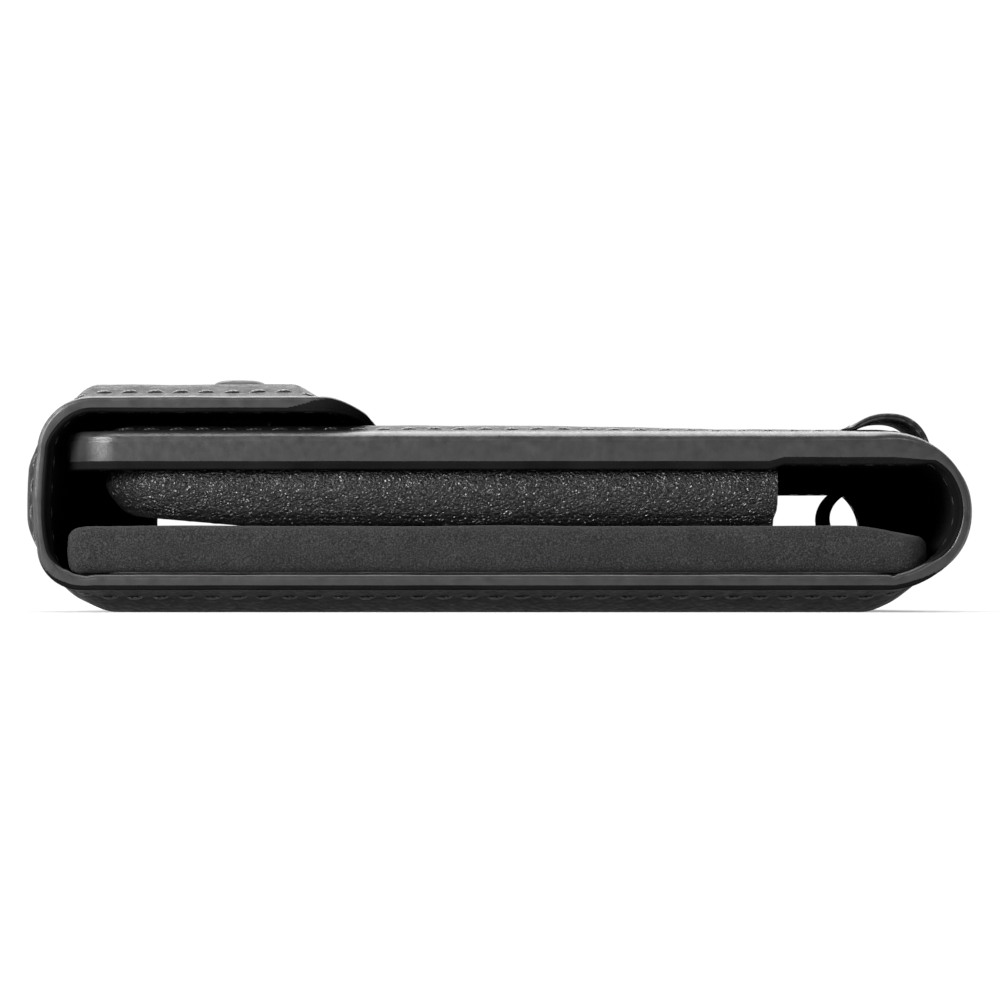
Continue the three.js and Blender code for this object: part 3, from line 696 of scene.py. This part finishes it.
def edge_rings(stretch, places, seed):
    """Rings of a stretch's edge: a thin bead on the leather's face, a body, and a thin bead on the lining.
    The front cover's has a fat bead over a deeper body instead."""
    stations = []
    for s, y, out_s, out_y in places:
        along = s if abs(out_y) > 0.5 else y
        fat = float(fat_edge(stretch, s))
        uneven = 0.05 * ripple(along + seed, seed, 4.0) + 0.02 * ripple(along, seed + 9, 1.3)
        high = 0.06 + 0.4 * uneven
        low = -sheet(s) + 0.42 * float(bare_edge(s)) - drop(s) - base(s) - 0.04 + kinked(s) - 0.6 * uneven
        creases = (
            (high - 0.26 - 0.56 * fat + uneven, 0.05 + 0.04 * fat, 0.07 + 0.05 * fat),
            (low + 0.34 + uneven, 0.05, 0.08),
        )
        out, n = rim(high, low, min(0.28, sheet(s) * 0.2), CHAMFER * fat * abs(out_y), creases)
        out = out + 0.6 * uneven - 0.06  # the paint ends where the CAD case does
        stations.append(wrap.place(s + out * out_s, y + out * out_y, n))
    return stations


def wrap_edge(stretch):
    """The edge of a stretch, grey between the columns that painted() gives and black, as painted shade,
    elsewhere.
    """
    start, end, *_ = STRETCHES[stretch]
    sides = boundary(start, end)
    edges = [edge_rings(stretch, places, 3.0 * i + len(stretch)) for i, places in enumerate(sides)]
    made = outwards(mesh_piece(f"edge_{stretch}", *joined(map(swept, edges)), EDGE, 75))
    # the second material, black lining leather, is painted shade on the edge's columns outside the grey ones
    made.data.materials.append(LINING)
    around = len(edges[0][0])
    grey = [painted(s) for places in sides for s, *_ in places]
    for face in made.data.polygons:
        row, column = divmod(face.vertices[0], around)
        face.material_index = int(not grey[row][0] <= column < grey[row][1])
    return bends(made, stretch)


def stitch(points, normals, rise=0.04):
    """One stitch: a thread that rises from its first hole, lies on the leather and goes into its second. The
    points are on the leather, in metres, each with its outward direction."""
    count, around, radius, deep = len(points), 7, THREAD_R * MM, 0.30
    stations = []
    for i, t in enumerate(np.linspace(0, 1, count)):
        lift = (math.sin(math.pi * t) ** 0.5 * deep - deep + rise) * MM
        way = points[min(i + 1, count - 1)] - points[max(i - 1, 0)]
        way = way / np.linalg.norm(way)
        side = np.cross(way, normals[i])
        centre = points[i] + normals[i] * lift
        girth = radius * (0.55 + 0.45 * math.sin(math.pi * t) ** 0.5)
        stations.append([
            centre + girth * (math.cos(a) * normals[i] * 0.85 + math.sin(a) * side)
            for a in np.linspace(0, 2 * math.pi, around, endpoint=False)
        ])
    return swept(stations)


def seam(path, surface):
    """Stitches along a path of (s, y), on a surface that gives n."""
    path = np.array(path)
    run = run_along(path)
    count = int(run[-1] / STITCH)
    pitch = run[-1] / count
    parts = []
    for i in range(count):
        t = np.linspace(i * pitch + STITCH_GAP, (i + 1) * pitch - STITCH_GAP, 6)
        s, y = np.interp(t, run, path[:, 0]), np.interp(t, run, path[:, 1])
        slant = 0.14 * np.linspace(-1, 1, 6)
        way = np.gradient(np.stack([s, y], 1), axis=0)
        way /= np.linalg.norm(way, axis=1)[:, None]
        s, y = s + slant * way[:, 1], y - slant * way[:, 0]
        n = surface(s, y)
        points = wrap.place(s, y, n)
        way_out, rise = (1.0, 0.1) if surface is outer else (-1.0, -0.13)
        parts.append(stitch(points, (wrap.place(s, y, n + way_out) - points) / MM, rise))
    return parts


def inner_face(s, y):
    return -sheet(s) - drop(s) - base(s)


def wrap_thread(stretch):
    """Stitches round a stretch's edges, on the leather and on the lining."""
    start, end, *_ = STRETCHES[stretch]
    parts = []
    for places in boundary(start, end):
        inset = [(s - STITCH_INSET * os, y - STITCH_INSET * oy) for s, y, os, oy in places]
        parts += seam(inset, outer)
        parts += seam(inset, inner_face)
    made = outwards(mesh_piece(f"thread_{stretch}", *joined(parts), THREAD, 60))
    return bends(made, stretch)


def foam_layer(pad, body, node, base_n=-SKIN):
    """The foam that fills a padded stretch, under its leather, down to n = base_n."""
    start, end, _, slope, side_slope = PADS[pad]
    s_values = np.linspace(start + slope * 0.45, end - slope * 0.45, 40)
    y_values = np.linspace(-1, 1, 60) * (HALF_LENGTH - side_slope * 0.9)
    s, y = np.meshgrid(s_values, y_values, indexing="ij")
    top = swell(s, y) - SKIN - 0.1
    low = np.minimum(top - 0.12, base_n + 0.03)
    made = mesh_piece(f"foam_{pad}", *closed_sheet(wrap.place(s, y, top), wrap.place(s, y, low)), FOAM)
    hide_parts(node)
    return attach(made, body)


for name in STRETCHES:
    leather_skin(name)
    lining_sheet(name)
    wrap_edge(name)
    wrap_thread(name)
foam_layer("flap", "flap", "flap_foam", -0.6)
foam_layer("side_wall", "side_wall", "wall_foam")
foam_layer("back", "back_cover", "back_foam", 0.0)
foam_layer("spine", "spine", "spine_foam")
foam_layer("front", "front_cover", "front_foam")


# ---------- forms made from rings
def outline(low, high, radii, inset, spacing=1.0):
    """Points anticlockwise round a rectangle with round corners, stepped in by an inset. The radii start at
    the lowest x and y."""
    corners = [(0, 0, 180), (1, 0, 270), (1, 1, 0), (0, 1, 90)]
    lengths = (high[0] - low[0], high[1] - low[1])
    points = []
    for i, (right, far, start) in enumerate(corners):
        r = max((radii[i] if np.ndim(radii) else radii) - inset, 0.03)
        x = (high[0] - inset - r) if right else (low[0] + inset + r)
        y = (high[1] - inset - r) if far else (low[1] + inset + r)
        turn = np.radians(np.linspace(start, start + 90, 9))
        points.append(np.stack([x + r * np.cos(turn), y + r * np.sin(turn)], 1))
    ring = []
    for i, corner in enumerate(points):
        following = points[(i + 1) % 4]
        count = int(lengths[i % 2] / spacing)
        t = np.linspace(0, 1, count + 2)[1:-1, None]
        ring += [corner, corner[-1] * (1 - t) + following[0] * t]
    return np.concatenate(ring)


def ringed(name, rings, material, angle=50, loop=False):
    """A closed piece through rings of points in millimetres."""
    return outwards(mesh_piece(name, *swept(np.asarray(rings) * MM, loop), material, angle))


def at_height(points, z):
    return np.column_stack([points, np.broadcast_to(z, len(points))])


def plate(name, low, high, radii, edge, material):
    """A flat piece with rounded edges."""
    middle, half = (low[2] + high[2]) / 2, (high[2] - low[2]) / 2
    rings = [
        at_height(outline(low, high, radii, edge * (1 - math.cos(t))), middle + half * math.sin(t))
        for t in np.linspace(-math.pi / 2, math.pi / 2, 9)
    ]
    return ringed(name, rings, material)


def stitches(name, runs, body):
    """Straight seams between points in millimetres, each with its outward direction."""
    parts = []
    for start, end, normal in np.array(runs, float):
        count = max(1, round(float(np.linalg.norm(end - start)) / STITCH))
        step = (end - start) / count
        for i in range(count):
            a, b = start + step * (i + 0.1), start + step * (i + 0.9)
            points = np.linspace(a, b, 6) * MM
            parts.append(stitch(points, np.broadcast_to(normal, (6, 3))))
    made = outwards(mesh_piece(name, *joined(parts), THREAD, 60))
    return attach(made, body)


# ---------- suede pad and card pockets
POCKETS = [f"card_pocket_{i}" for i in (1, 2, 3)]


def pad():
    """A foam pad in a suede cover, crowned, with soft sides and a recess for the card pockets."""
    low, high = box("pad_suede")
    floor_z = box(POCKETS[0])[0][2] - 0.05
    recess = box(POCKETS[0])[0][0] - low[0] - 0.25  # how far in the recess starts
    rounding, top = 1.15, high[2] - low[2] + 0.06
    profile = [(6, 0), (2.4, 0), (1.3, 0)]
    profile += [
        (rounding * (1 - math.sin(t)) + 0.12, rounding * (1 - math.cos(t)))
        for t in np.linspace(0.2, 1.5, 7)
    ]
    profile += [(0.04, 2.0), (0.0, 2.7), (0.06, 3.2)]
    profile += [
        (0.1 + rounding * (1 - math.cos(t)), top - rounding * (1 - math.sin(t)))
        for t in np.linspace(0.1, math.pi / 2, 10)
    ]
    profile += [(3.2, top + 0.05), (5, top + 0.06), (7, top + 0.04), (recess - 0.5, top)]
    profile += [(recess - 0.15, top - 0.08), (recess, top - 0.4), (recess, floor_z - low[2])]
    profile += [(recess + 1.5, floor_z - low[2] - 0.02)]
    corners = (2.2, 3.2, 3.2, 2.2)
    rings = []
    for inset, height in profile:
        points = outline(low, high, corners, inset, 0.8)
        share = np.clip(height / top, 0, 1)
        x, y = points.T
        fall = 1.15 * smooth((x - high[0] + 8.5) / 9.5) + 0.25 * smooth((low[0] + 2.6 - x) / 2.6)
        wave = 0.07 * ripple(x, y, 6) * share * (inset < 8)
        rings.append(at_height(points, low[2] + height - fall * share * (inset < 6) + wave))
    rings = np.array(rings)
    x, y = rings[..., 0], rings[..., 1]
    soft = 0.10 * ripple(x + rings[..., 2], y * 0.8, 5.0) * (np.array([p[0] for p in profile]) < 2)[:, None]
    rings[..., 0] -= soft * np.sign(x)
    rings[..., 1] -= np.abs(soft) * np.sign(y)
    made = ringed("pad_cover", rings, SUEDE)
    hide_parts("pad_suede")
    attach(made, "back_cover")


def card_pockets():
    """Three panels on one another, each with a turned mouth and seams down its sides and across its end."""
    runs = []
    for i, node in enumerate(POCKETS):
        low, high = box(node)
        made = plate(f"pocket_{i + 1}", low, high, 1.2, 0.2, GRAIN)
        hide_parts(node)
        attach(made, "back_cover")
        top, up = high[2] + 0.02, (0, 0, 1)
        mouth = high[1] - 2
        runs.append(((low[0] + 2, mouth, top), (high[0] - 2, mouth, top), up))
        last = i == len(POCKETS) - 1
        left, right = low[0] + 1.6, high[0] - 1.6
        foot = low[1] + 1.6 if last else box(POCKETS[i + 1])[1][1] + 0.6
        for x in (left, right):
            runs.append(((x, foot, top), (x, mouth, top), up))
        if last:
            runs.append(((left, foot, top), (right, foot, top), up))
    stitches("pocket_thread", runs, "back_cover")


# ---------- phone holder
def holder_lift(x, y, z, top):
    """The empty holder is soft, and its free side lifts off the pad, more towards the far end."""
    low = box("holder_face")[0]
    start_x, slope_length = low[0] + 14.8, 8.4
    far = np.clip((y + HALF_LENGTH) / (2 * HALF_LENGTH), 0, 1)
    ramp = np.clip((start_x - x) / slope_length, 0, 1.6)
    return (0.5 + 1.6 * far**0.55) * ramp * np.clip((top - z) / (top - low[2]), 0, 1)


def holder_path(low, high, corner, spacing=0.7):
    """The holder's outline from its open end at the near side, round its closed side, to the far side. Gives
    points and the outward direction at each."""
    x_count, y_count = int((high[0] - low[0] - corner) / spacing), int((-low[1] - corner) / spacing)
    half = [(x, low[1], 0, -1) for x in np.linspace(high[0], low[0] + corner, x_count)[:-1]]
    for a in np.radians(np.linspace(270, 180, 22)):
        way = np.array([math.cos(a), math.sin(a)])
        half.append((*(low[:2] + corner + corner * way), *way))
    half += [(low[0], y, -1, 0) for y in np.linspace(low[1] + corner, 0, y_count)[1:]]
    half = np.array(half)
    whole = np.concatenate([half, (half * (1, -1, 1, -1))[-2::-1]])
    return whole[:, :2], whole[:, 2:]


def holder_strip(name, node, profile, low, high, corner, top):
    """A strip of the holder's leather, with its profile as (out, z), all along its path."""
    points, ways = holder_path(low, high, corner)
    stations = []
    for (x, y), (way_x, way_y) in zip(points, ways):
        out, z = np.array(profile).T
        px, py = x + out * way_x, y + out * way_y
        folds = np.sin(px * 2.2 + z * 1.5) * 0.05 * smooth((low[0] + 9 - px) / 6)
        wave = 0.04 * ripple(px + z, py, 9) + folds
        px, py = px - np.abs(wave) * way_x, py - np.abs(wave) * way_y
        # the open end is cut square above and draws in where the leather turns under
        px = px - 0.4 * smooth((top - 3.9 - z) / 1.4) * smooth((px - high[0] + 4) / 4)
        stations.append(np.stack([px, py, z + holder_lift(px, py, z, top)], 1))
    made = ringed(name, stations, GRAIN, 60)
    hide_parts(node)
    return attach(made, "front_cover")


def phone_holder():
    low, high = box("holder_gusset")
    face_low, face_high = box("holder_face")
    top = high[2]
    thickness, lip, corner = 1.1, 5.6, 7
    belly = [(-0.6, top), (-0.3, top - 0.3), (-0.1, top - 0.75), (0, top - 1.4), (0, top - 2.2)]
    belly += [(-0.25, top - 2.9), (-0.6, top - 3.6), (-1.05, top - 4.3), (-1.55, top - 5.1)]
    inner = [(out - thickness, z) for out, z in belly][::-1]
    holder_strip("holder_side", "holder_gusset", belly + inner, low, high, corner, top)
    bottom = face_low[2] - 0.24
    z = face_high[2] + 0.02
    under = [(-1.45, z), (-1.6, z - 0.22), (-1.9, z - 0.5), (-2.3, z - 0.75), (-3.0, bottom), (-3.8, bottom)]
    under += [(-lip + 0.2, bottom + 0.06), (-lip, bottom + 0.3), (-lip + 0.15, z - 0.05), (-lip + 0.6, z)]
    holder_strip("holder_lip", "holder_face", under + [(-2.4, z)], low, high, corner, top)
    points, ways = holder_path(low, high, corner, 0.9)
    parts = []
    inset = points - ways * 4.3
    run, margin = run_along(inset), 1.5
    for i in range(int((run[-1] - 2 * margin) / STITCH)):
        t = np.linspace(margin + i * STITCH + STITCH_GAP, margin + (i + 1) * STITCH - STITCH_GAP, 6)
        x, y = np.interp(t, run, inset[:, 0]), np.interp(t, run, inset[:, 1])
        height = bottom + 0.02 + holder_lift(x, y, np.full(6, bottom), top)
        parts.append(stitch(np.stack([x, y, height], 1) * MM, np.tile((0, 0, -1.0), (6, 1)), -0.12))
    made = outwards(mesh_piece("holder_thread", *joined(parts), THREAD, 60))
    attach(made, "front_cover")

    inset, corner = 0.4, CORNER - 0.4
    low, high = BASE_LOW + (inset, inset, 0), BASE_HIGH - (0, inset, 0)
    made = plate("holder_mount", low, high, (corner, 0.3, 0.3, corner), 0.3, LINING)
    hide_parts("holder_base")
    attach(made, "front_cover")


# ---------- loops
def strap(name, node, path, low_y, high_y, thickness, body, material, skived=0.0):
    """A strip of leather that follows a path, with round edges. Its end may be skived thin."""
    half = thickness / 2
    s = np.linspace(0, path.length, int(path.length / 0.3))
    rim = [(0.16, 1.0), (0.05, 0.82), (0.0, 0.5), (0.05, 0.15), (0.09, 0.0)]
    side = rim + [(inset, -n) for inset, n in rim[-2::-1]]
    across = np.linspace(low_y, high_y, 14)[1:-1]
    ring = [(low_y + inset, n * half) for inset, n in side[::-1]]
    ring += [(y, half) for y in across]
    ring += [(high_y - inset, n * half) for inset, n in side]
    ring += [(y, -half) for y in across[::-1]]
    ring = np.array(ring)
    stations = []
    for v in s:
        fine = 0.03 * ripple(v, ring[:, 0], 3)
        share = 0.25 + 0.75 * float(smooth((path.length - v) / skived)) if skived else 1.0
        stations.append(path.place(v, ring[:, 0] + fine, (ring[:, 1] - half) * share))
    made = outwards(mesh_piece(name, *swept(stations), material, 60))
    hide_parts(node)
    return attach(made, body)


def bezier(*controls):
    """Points on a cubic curve."""
    a, b, c, d = map(np.array, controls)
    return [
        tuple(a * (1 - t) ** 3 + 3 * b * t * (1 - t) ** 2 + 3 * c * t * t * (1 - t) + d * t**3)
        for t in np.linspace(0, 1, 30)
    ]


def strap_loop():
    """Stands over the corner between the front cover and the spine, for a wrist strap."""
    low, high = box("strap_loop")
    thickness, cover_z, crest_z = 0.7, FRONT_Z + 0.35, FRONT_Z + 2.0
    start, foot = (low[0] + 2.8, cover_z), (low[0] + 3.9, cover_z + 0.25)
    crest = (SPINE_X + 0.4, crest_z)
    end_x = high[0] + 0.5
    end = (end_x, SPINE_Z + math.sqrt(SPINE_R**2 - (end_x - SPINE_X) ** 2) + 0.1)
    rise = bezier(foot, (foot[0] + 0.9, foot[1] + 0.75), (crest[0] - 1.9, crest[1]), crest)
    fall = bezier(crest, (crest[0] + 2.6, crest[1]), (end[0] - 0.5, end[1] + 1.9), end)
    # the wrap's outer side is on the right of the way it runs, so the loop runs from the spine back
    path = Wrap(*[part[::-1] for part in (fall, rise, line(start, foot))])
    strap("loop_for_strap", "strap_loop", path, low[1], high[1], thickness, "front_cover", LEATHER, 2.4)
    x, z = foot[0] - 0.1, foot[1] + 0.02
    seam_run = ((x, low[1] + 1.4, z), (x, high[1] - 1.4, z), (-0.3, 0, 0.95))
    stitches("strap_loop_thread", [seam_run], "front_cover")


def pen_loop():
    """A strip bent round inside the spine, that holds a pen."""
    low, high = box("pen_loop")
    centre_x, centre_z = SPINE_X + SPINE_R - SHEET + SPINE_BULGE, (low[2] + high[2]) / 2
    reach_x, reach_z = centre_x - low[0] - 0.6, (high[2] - low[2]) / 2 + 0.05
    inside = SPINE_R - SHEET + SPINE_BULGE * 0.8
    turned = np.radians(np.linspace(60, 300, 90))
    points = [(centre_x + reach_x * math.cos(a), centre_z + reach_z * math.sin(a)) for a in turned]
    points = [p for p in points if math.dist(p, (SPINE_X, SPINE_Z)) < inside]
    path = Wrap(points[::-1])
    strap("loop_for_pen", "pen_loop", path, low[1], high[1], 1.1, "spine", LINING)


# ---------- snaps
def turned_piece(name, profile, centre, node, body, loop=False):
    """A round metal part. Its profile goes as (radius, z) from one end to the other, or in a loop that leaves
    a hole."""
    a = np.linspace(0, 2 * math.pi, 72, endpoint=False)
    circle = np.stack([np.cos(a), np.sin(a)], 1)
    rings = [at_height(centre + radius * circle, z) for radius, z in profile]
    made = ringed(name, rings, METAL, 35, loop)
    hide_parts(node)
    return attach(made, body)


def snap(end):
    """A domed cap over the flap, its socket beneath, and a stud and a washer in the front cover."""
    low, high = box(f"snap_cap_{end}")
    centre, radius, top = (low[:2] + high[:2]) / 2, (high[0] - low[0]) / 2, high[2]
    seat, shank = FLAP_Z + 1.55, 1.15
    cap = [(shank * 0.7, low[2]), (shank, low[2] + 0.15), (shank, seat + 0.02), (radius - 0.25, seat + 0.02)]
    cap += [(radius - 0.05, seat + 0.07), (radius, seat + 0.2), (radius - 0.06, seat + 0.34)]
    cap += [
        (radius * math.cos(t) ** 0.45 * 0.98, seat + 0.3 + (top - seat - 0.3) * math.sin(t))
        for t in np.linspace(0.12, math.pi / 2 - 0.005, 22)
    ]
    turned_piece(f"cap_{end}", cap, centre, f"snap_cap_{end}", "flap")

    low, high = box(f"snap_socket_{end}")
    radius, bottom, seat = (high[0] - low[0]) / 2, low[2], high[2]
    socket = [(1.4, seat), (radius - 0.1, seat), (radius, seat - 0.12), (radius - 0.1, seat - 0.3)]
    socket += [(3.3, seat - 0.5), (3.2, bottom + 0.12), (3.05, bottom), (2.6, bottom)]
    socket += [(2.4, bottom + 0.15), (2.35, seat - 0.35), (1.4, seat - 0.3)]
    turned_piece(f"socket_{end}", socket, centre, f"snap_socket_{end}", "flap")

    low, high = box(f"snap_stud_{end}")
    radius, bottom, top, seat = (high[0] - low[0]) / 2, low[2], high[2], FRONT_Z + 0.78
    stud = [(0.8, bottom), (1.1, bottom + 0.1), (1.1, seat), (radius - 0.1, seat), (radius, seat + 0.1)]
    stud += [(radius - 0.15, seat + 0.2), (1.5, seat + 0.28), (1.35, seat + 0.5), (1.6, seat + 0.75)]
    stud += [(1.55, top - 0.12), (1.3, top), (0.25, top)]
    turned_piece(f"stud_{end}", stud, centre, f"snap_stud_{end}", "front_cover")

    low, high = box(f"snap_washer_{end}")
    radius, bottom, top = (high[0] - low[0]) / 2, low[2], high[2]
    washer = [(1.3, bottom), (radius - 0.05, bottom), (radius, (bottom + top) / 2)]
    washer += [(radius - 0.1, top), (1.3, top)]
    turned_piece(f"washer_{end}", washer, centre, f"snap_washer_{end}", "front_cover", loop=True)


def inner_layers():
    """The boards and foams that the CAD model shows as they are get a finer material."""
    finishes = {"pad_foam": FOAM, "pad_board": BOARD, "back_board": BOARD, "flap_board": BOARD}
    for node, material in finishes.items():
        for place in frame["nodes"][node].material_slots:
            place.material = material


def cover_board():
    """The front cover's board, inside its painted edge."""
    low, high = box("front_board")
    inset, short = np.array((0.8, 0.8, 0)), np.array((4, 0, 0))
    corner = CORNER - inset[0]
    made = plate("cover_board", low + inset, high - inset - short, (corner, 0.3, 0.3, corner), 0.1, BOARD)
    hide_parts("front_board")
    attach(made, "front_cover")


pad()
card_pockets()
cover_board()
phone_holder()
strap_loop()
pen_loop()
snap("near")
snap("far")
inner_layers()


# ---------- floor, light and camera
def stage():
    """A pale floor that glows, more so further out, where the light overhead falls off."""
    bpy.ops.mesh.primitive_plane_add(size=24, location=(0, 0, 0))
    floor = bpy.context.object
    floor.name = "floor"
    m = Nodes("floor", (0.21, 0.21, 0.21), 0.9, specular=0.0)
    distance = m.add("ShaderNodeVectorMath", {"operation": "LENGTH"})
    m.set(distance, 0, m.place)
    m.set(m.shader, "Emission Color", (1, 1, 1, 1))
    m.set(m.shader, "Emission Strength", m.span(distance.outputs["Value"], 0.15, 1.8, 0.35, 0.9))
    floor.data.materials.append(m.material)


def area_light(name, place, target, size, power):
    data = bpy.data.lights.new(name, "AREA")
    data.shape = "RECTANGLE"
    data.size, data.size_y = size
    data.energy = power
    made = bpy.data.objects.new(name, data)
    made.location = place
    made.rotation_euler = (Vector(target) - Vector(place)).to_track_quat("-Z", "Y").to_euler()
    bpy.context.scene.collection.objects.link(made)


def lights():
    """A backdrop, white behind the case and dim in front of it, and three soft lights."""
    world = bpy.data.worlds.new("world")
    world.use_nodes = True
    tree = world.node_tree
    axes = tree.nodes.new("ShaderNodeSeparateXYZ")
    tree.links.new(tree.nodes.new("ShaderNodeTexCoord").outputs["Generated"], axes.inputs[0])
    span = tree.nodes.new("ShaderNodeMapRange")
    tree.links.new(axes.outputs["Y"], span.inputs["Value"])
    for key, value in zip(SPAN_KEYS, (-0.5, 0.9, 0.12, 1.02)):
        span.inputs[key].default_value = value
    background = tree.nodes["Background"].inputs
    tree.links.new(span.outputs["Result"], background["Strength"])
    background["Color"].default_value = (1, 1, 1, 1)
    bpy.context.scene.world = world
    area_light("top_light", (0, 0.1, 1.1), (0, 0, 0), (1.2, 1.0), 44)
    area_light("back_light", (0, 1.1, 0.75), (0, 0, 0.01), (1.6, 0.5), 9)
    area_light("front_light", (-0.42, -0.5, 0.24), (-0.02, 0, 0.015), (0.3, 0.3), 8)


def camera():
    """A long lens, low and square on to the case's near end."""
    data = bpy.data.cameras.new("camera")
    data.sensor_width = 36
    data.lens = 177.3
    data.clip_start, data.clip_end = 0.01, 20
    made = bpy.data.objects.new("camera", data)
    made.location = (0.0025, -0.5945, 0.0013)
    pitch, yaw = math.radians(1.163), math.radians(0.291)
    made.rotation_euler = (math.pi / 2 + pitch, 0, yaw)
    bpy.context.scene.collection.objects.link(made)
    bpy.context.scene.camera = made


bpy.context.scene.view_settings.view_transform = "Standard"
stage()
lights()
camera()
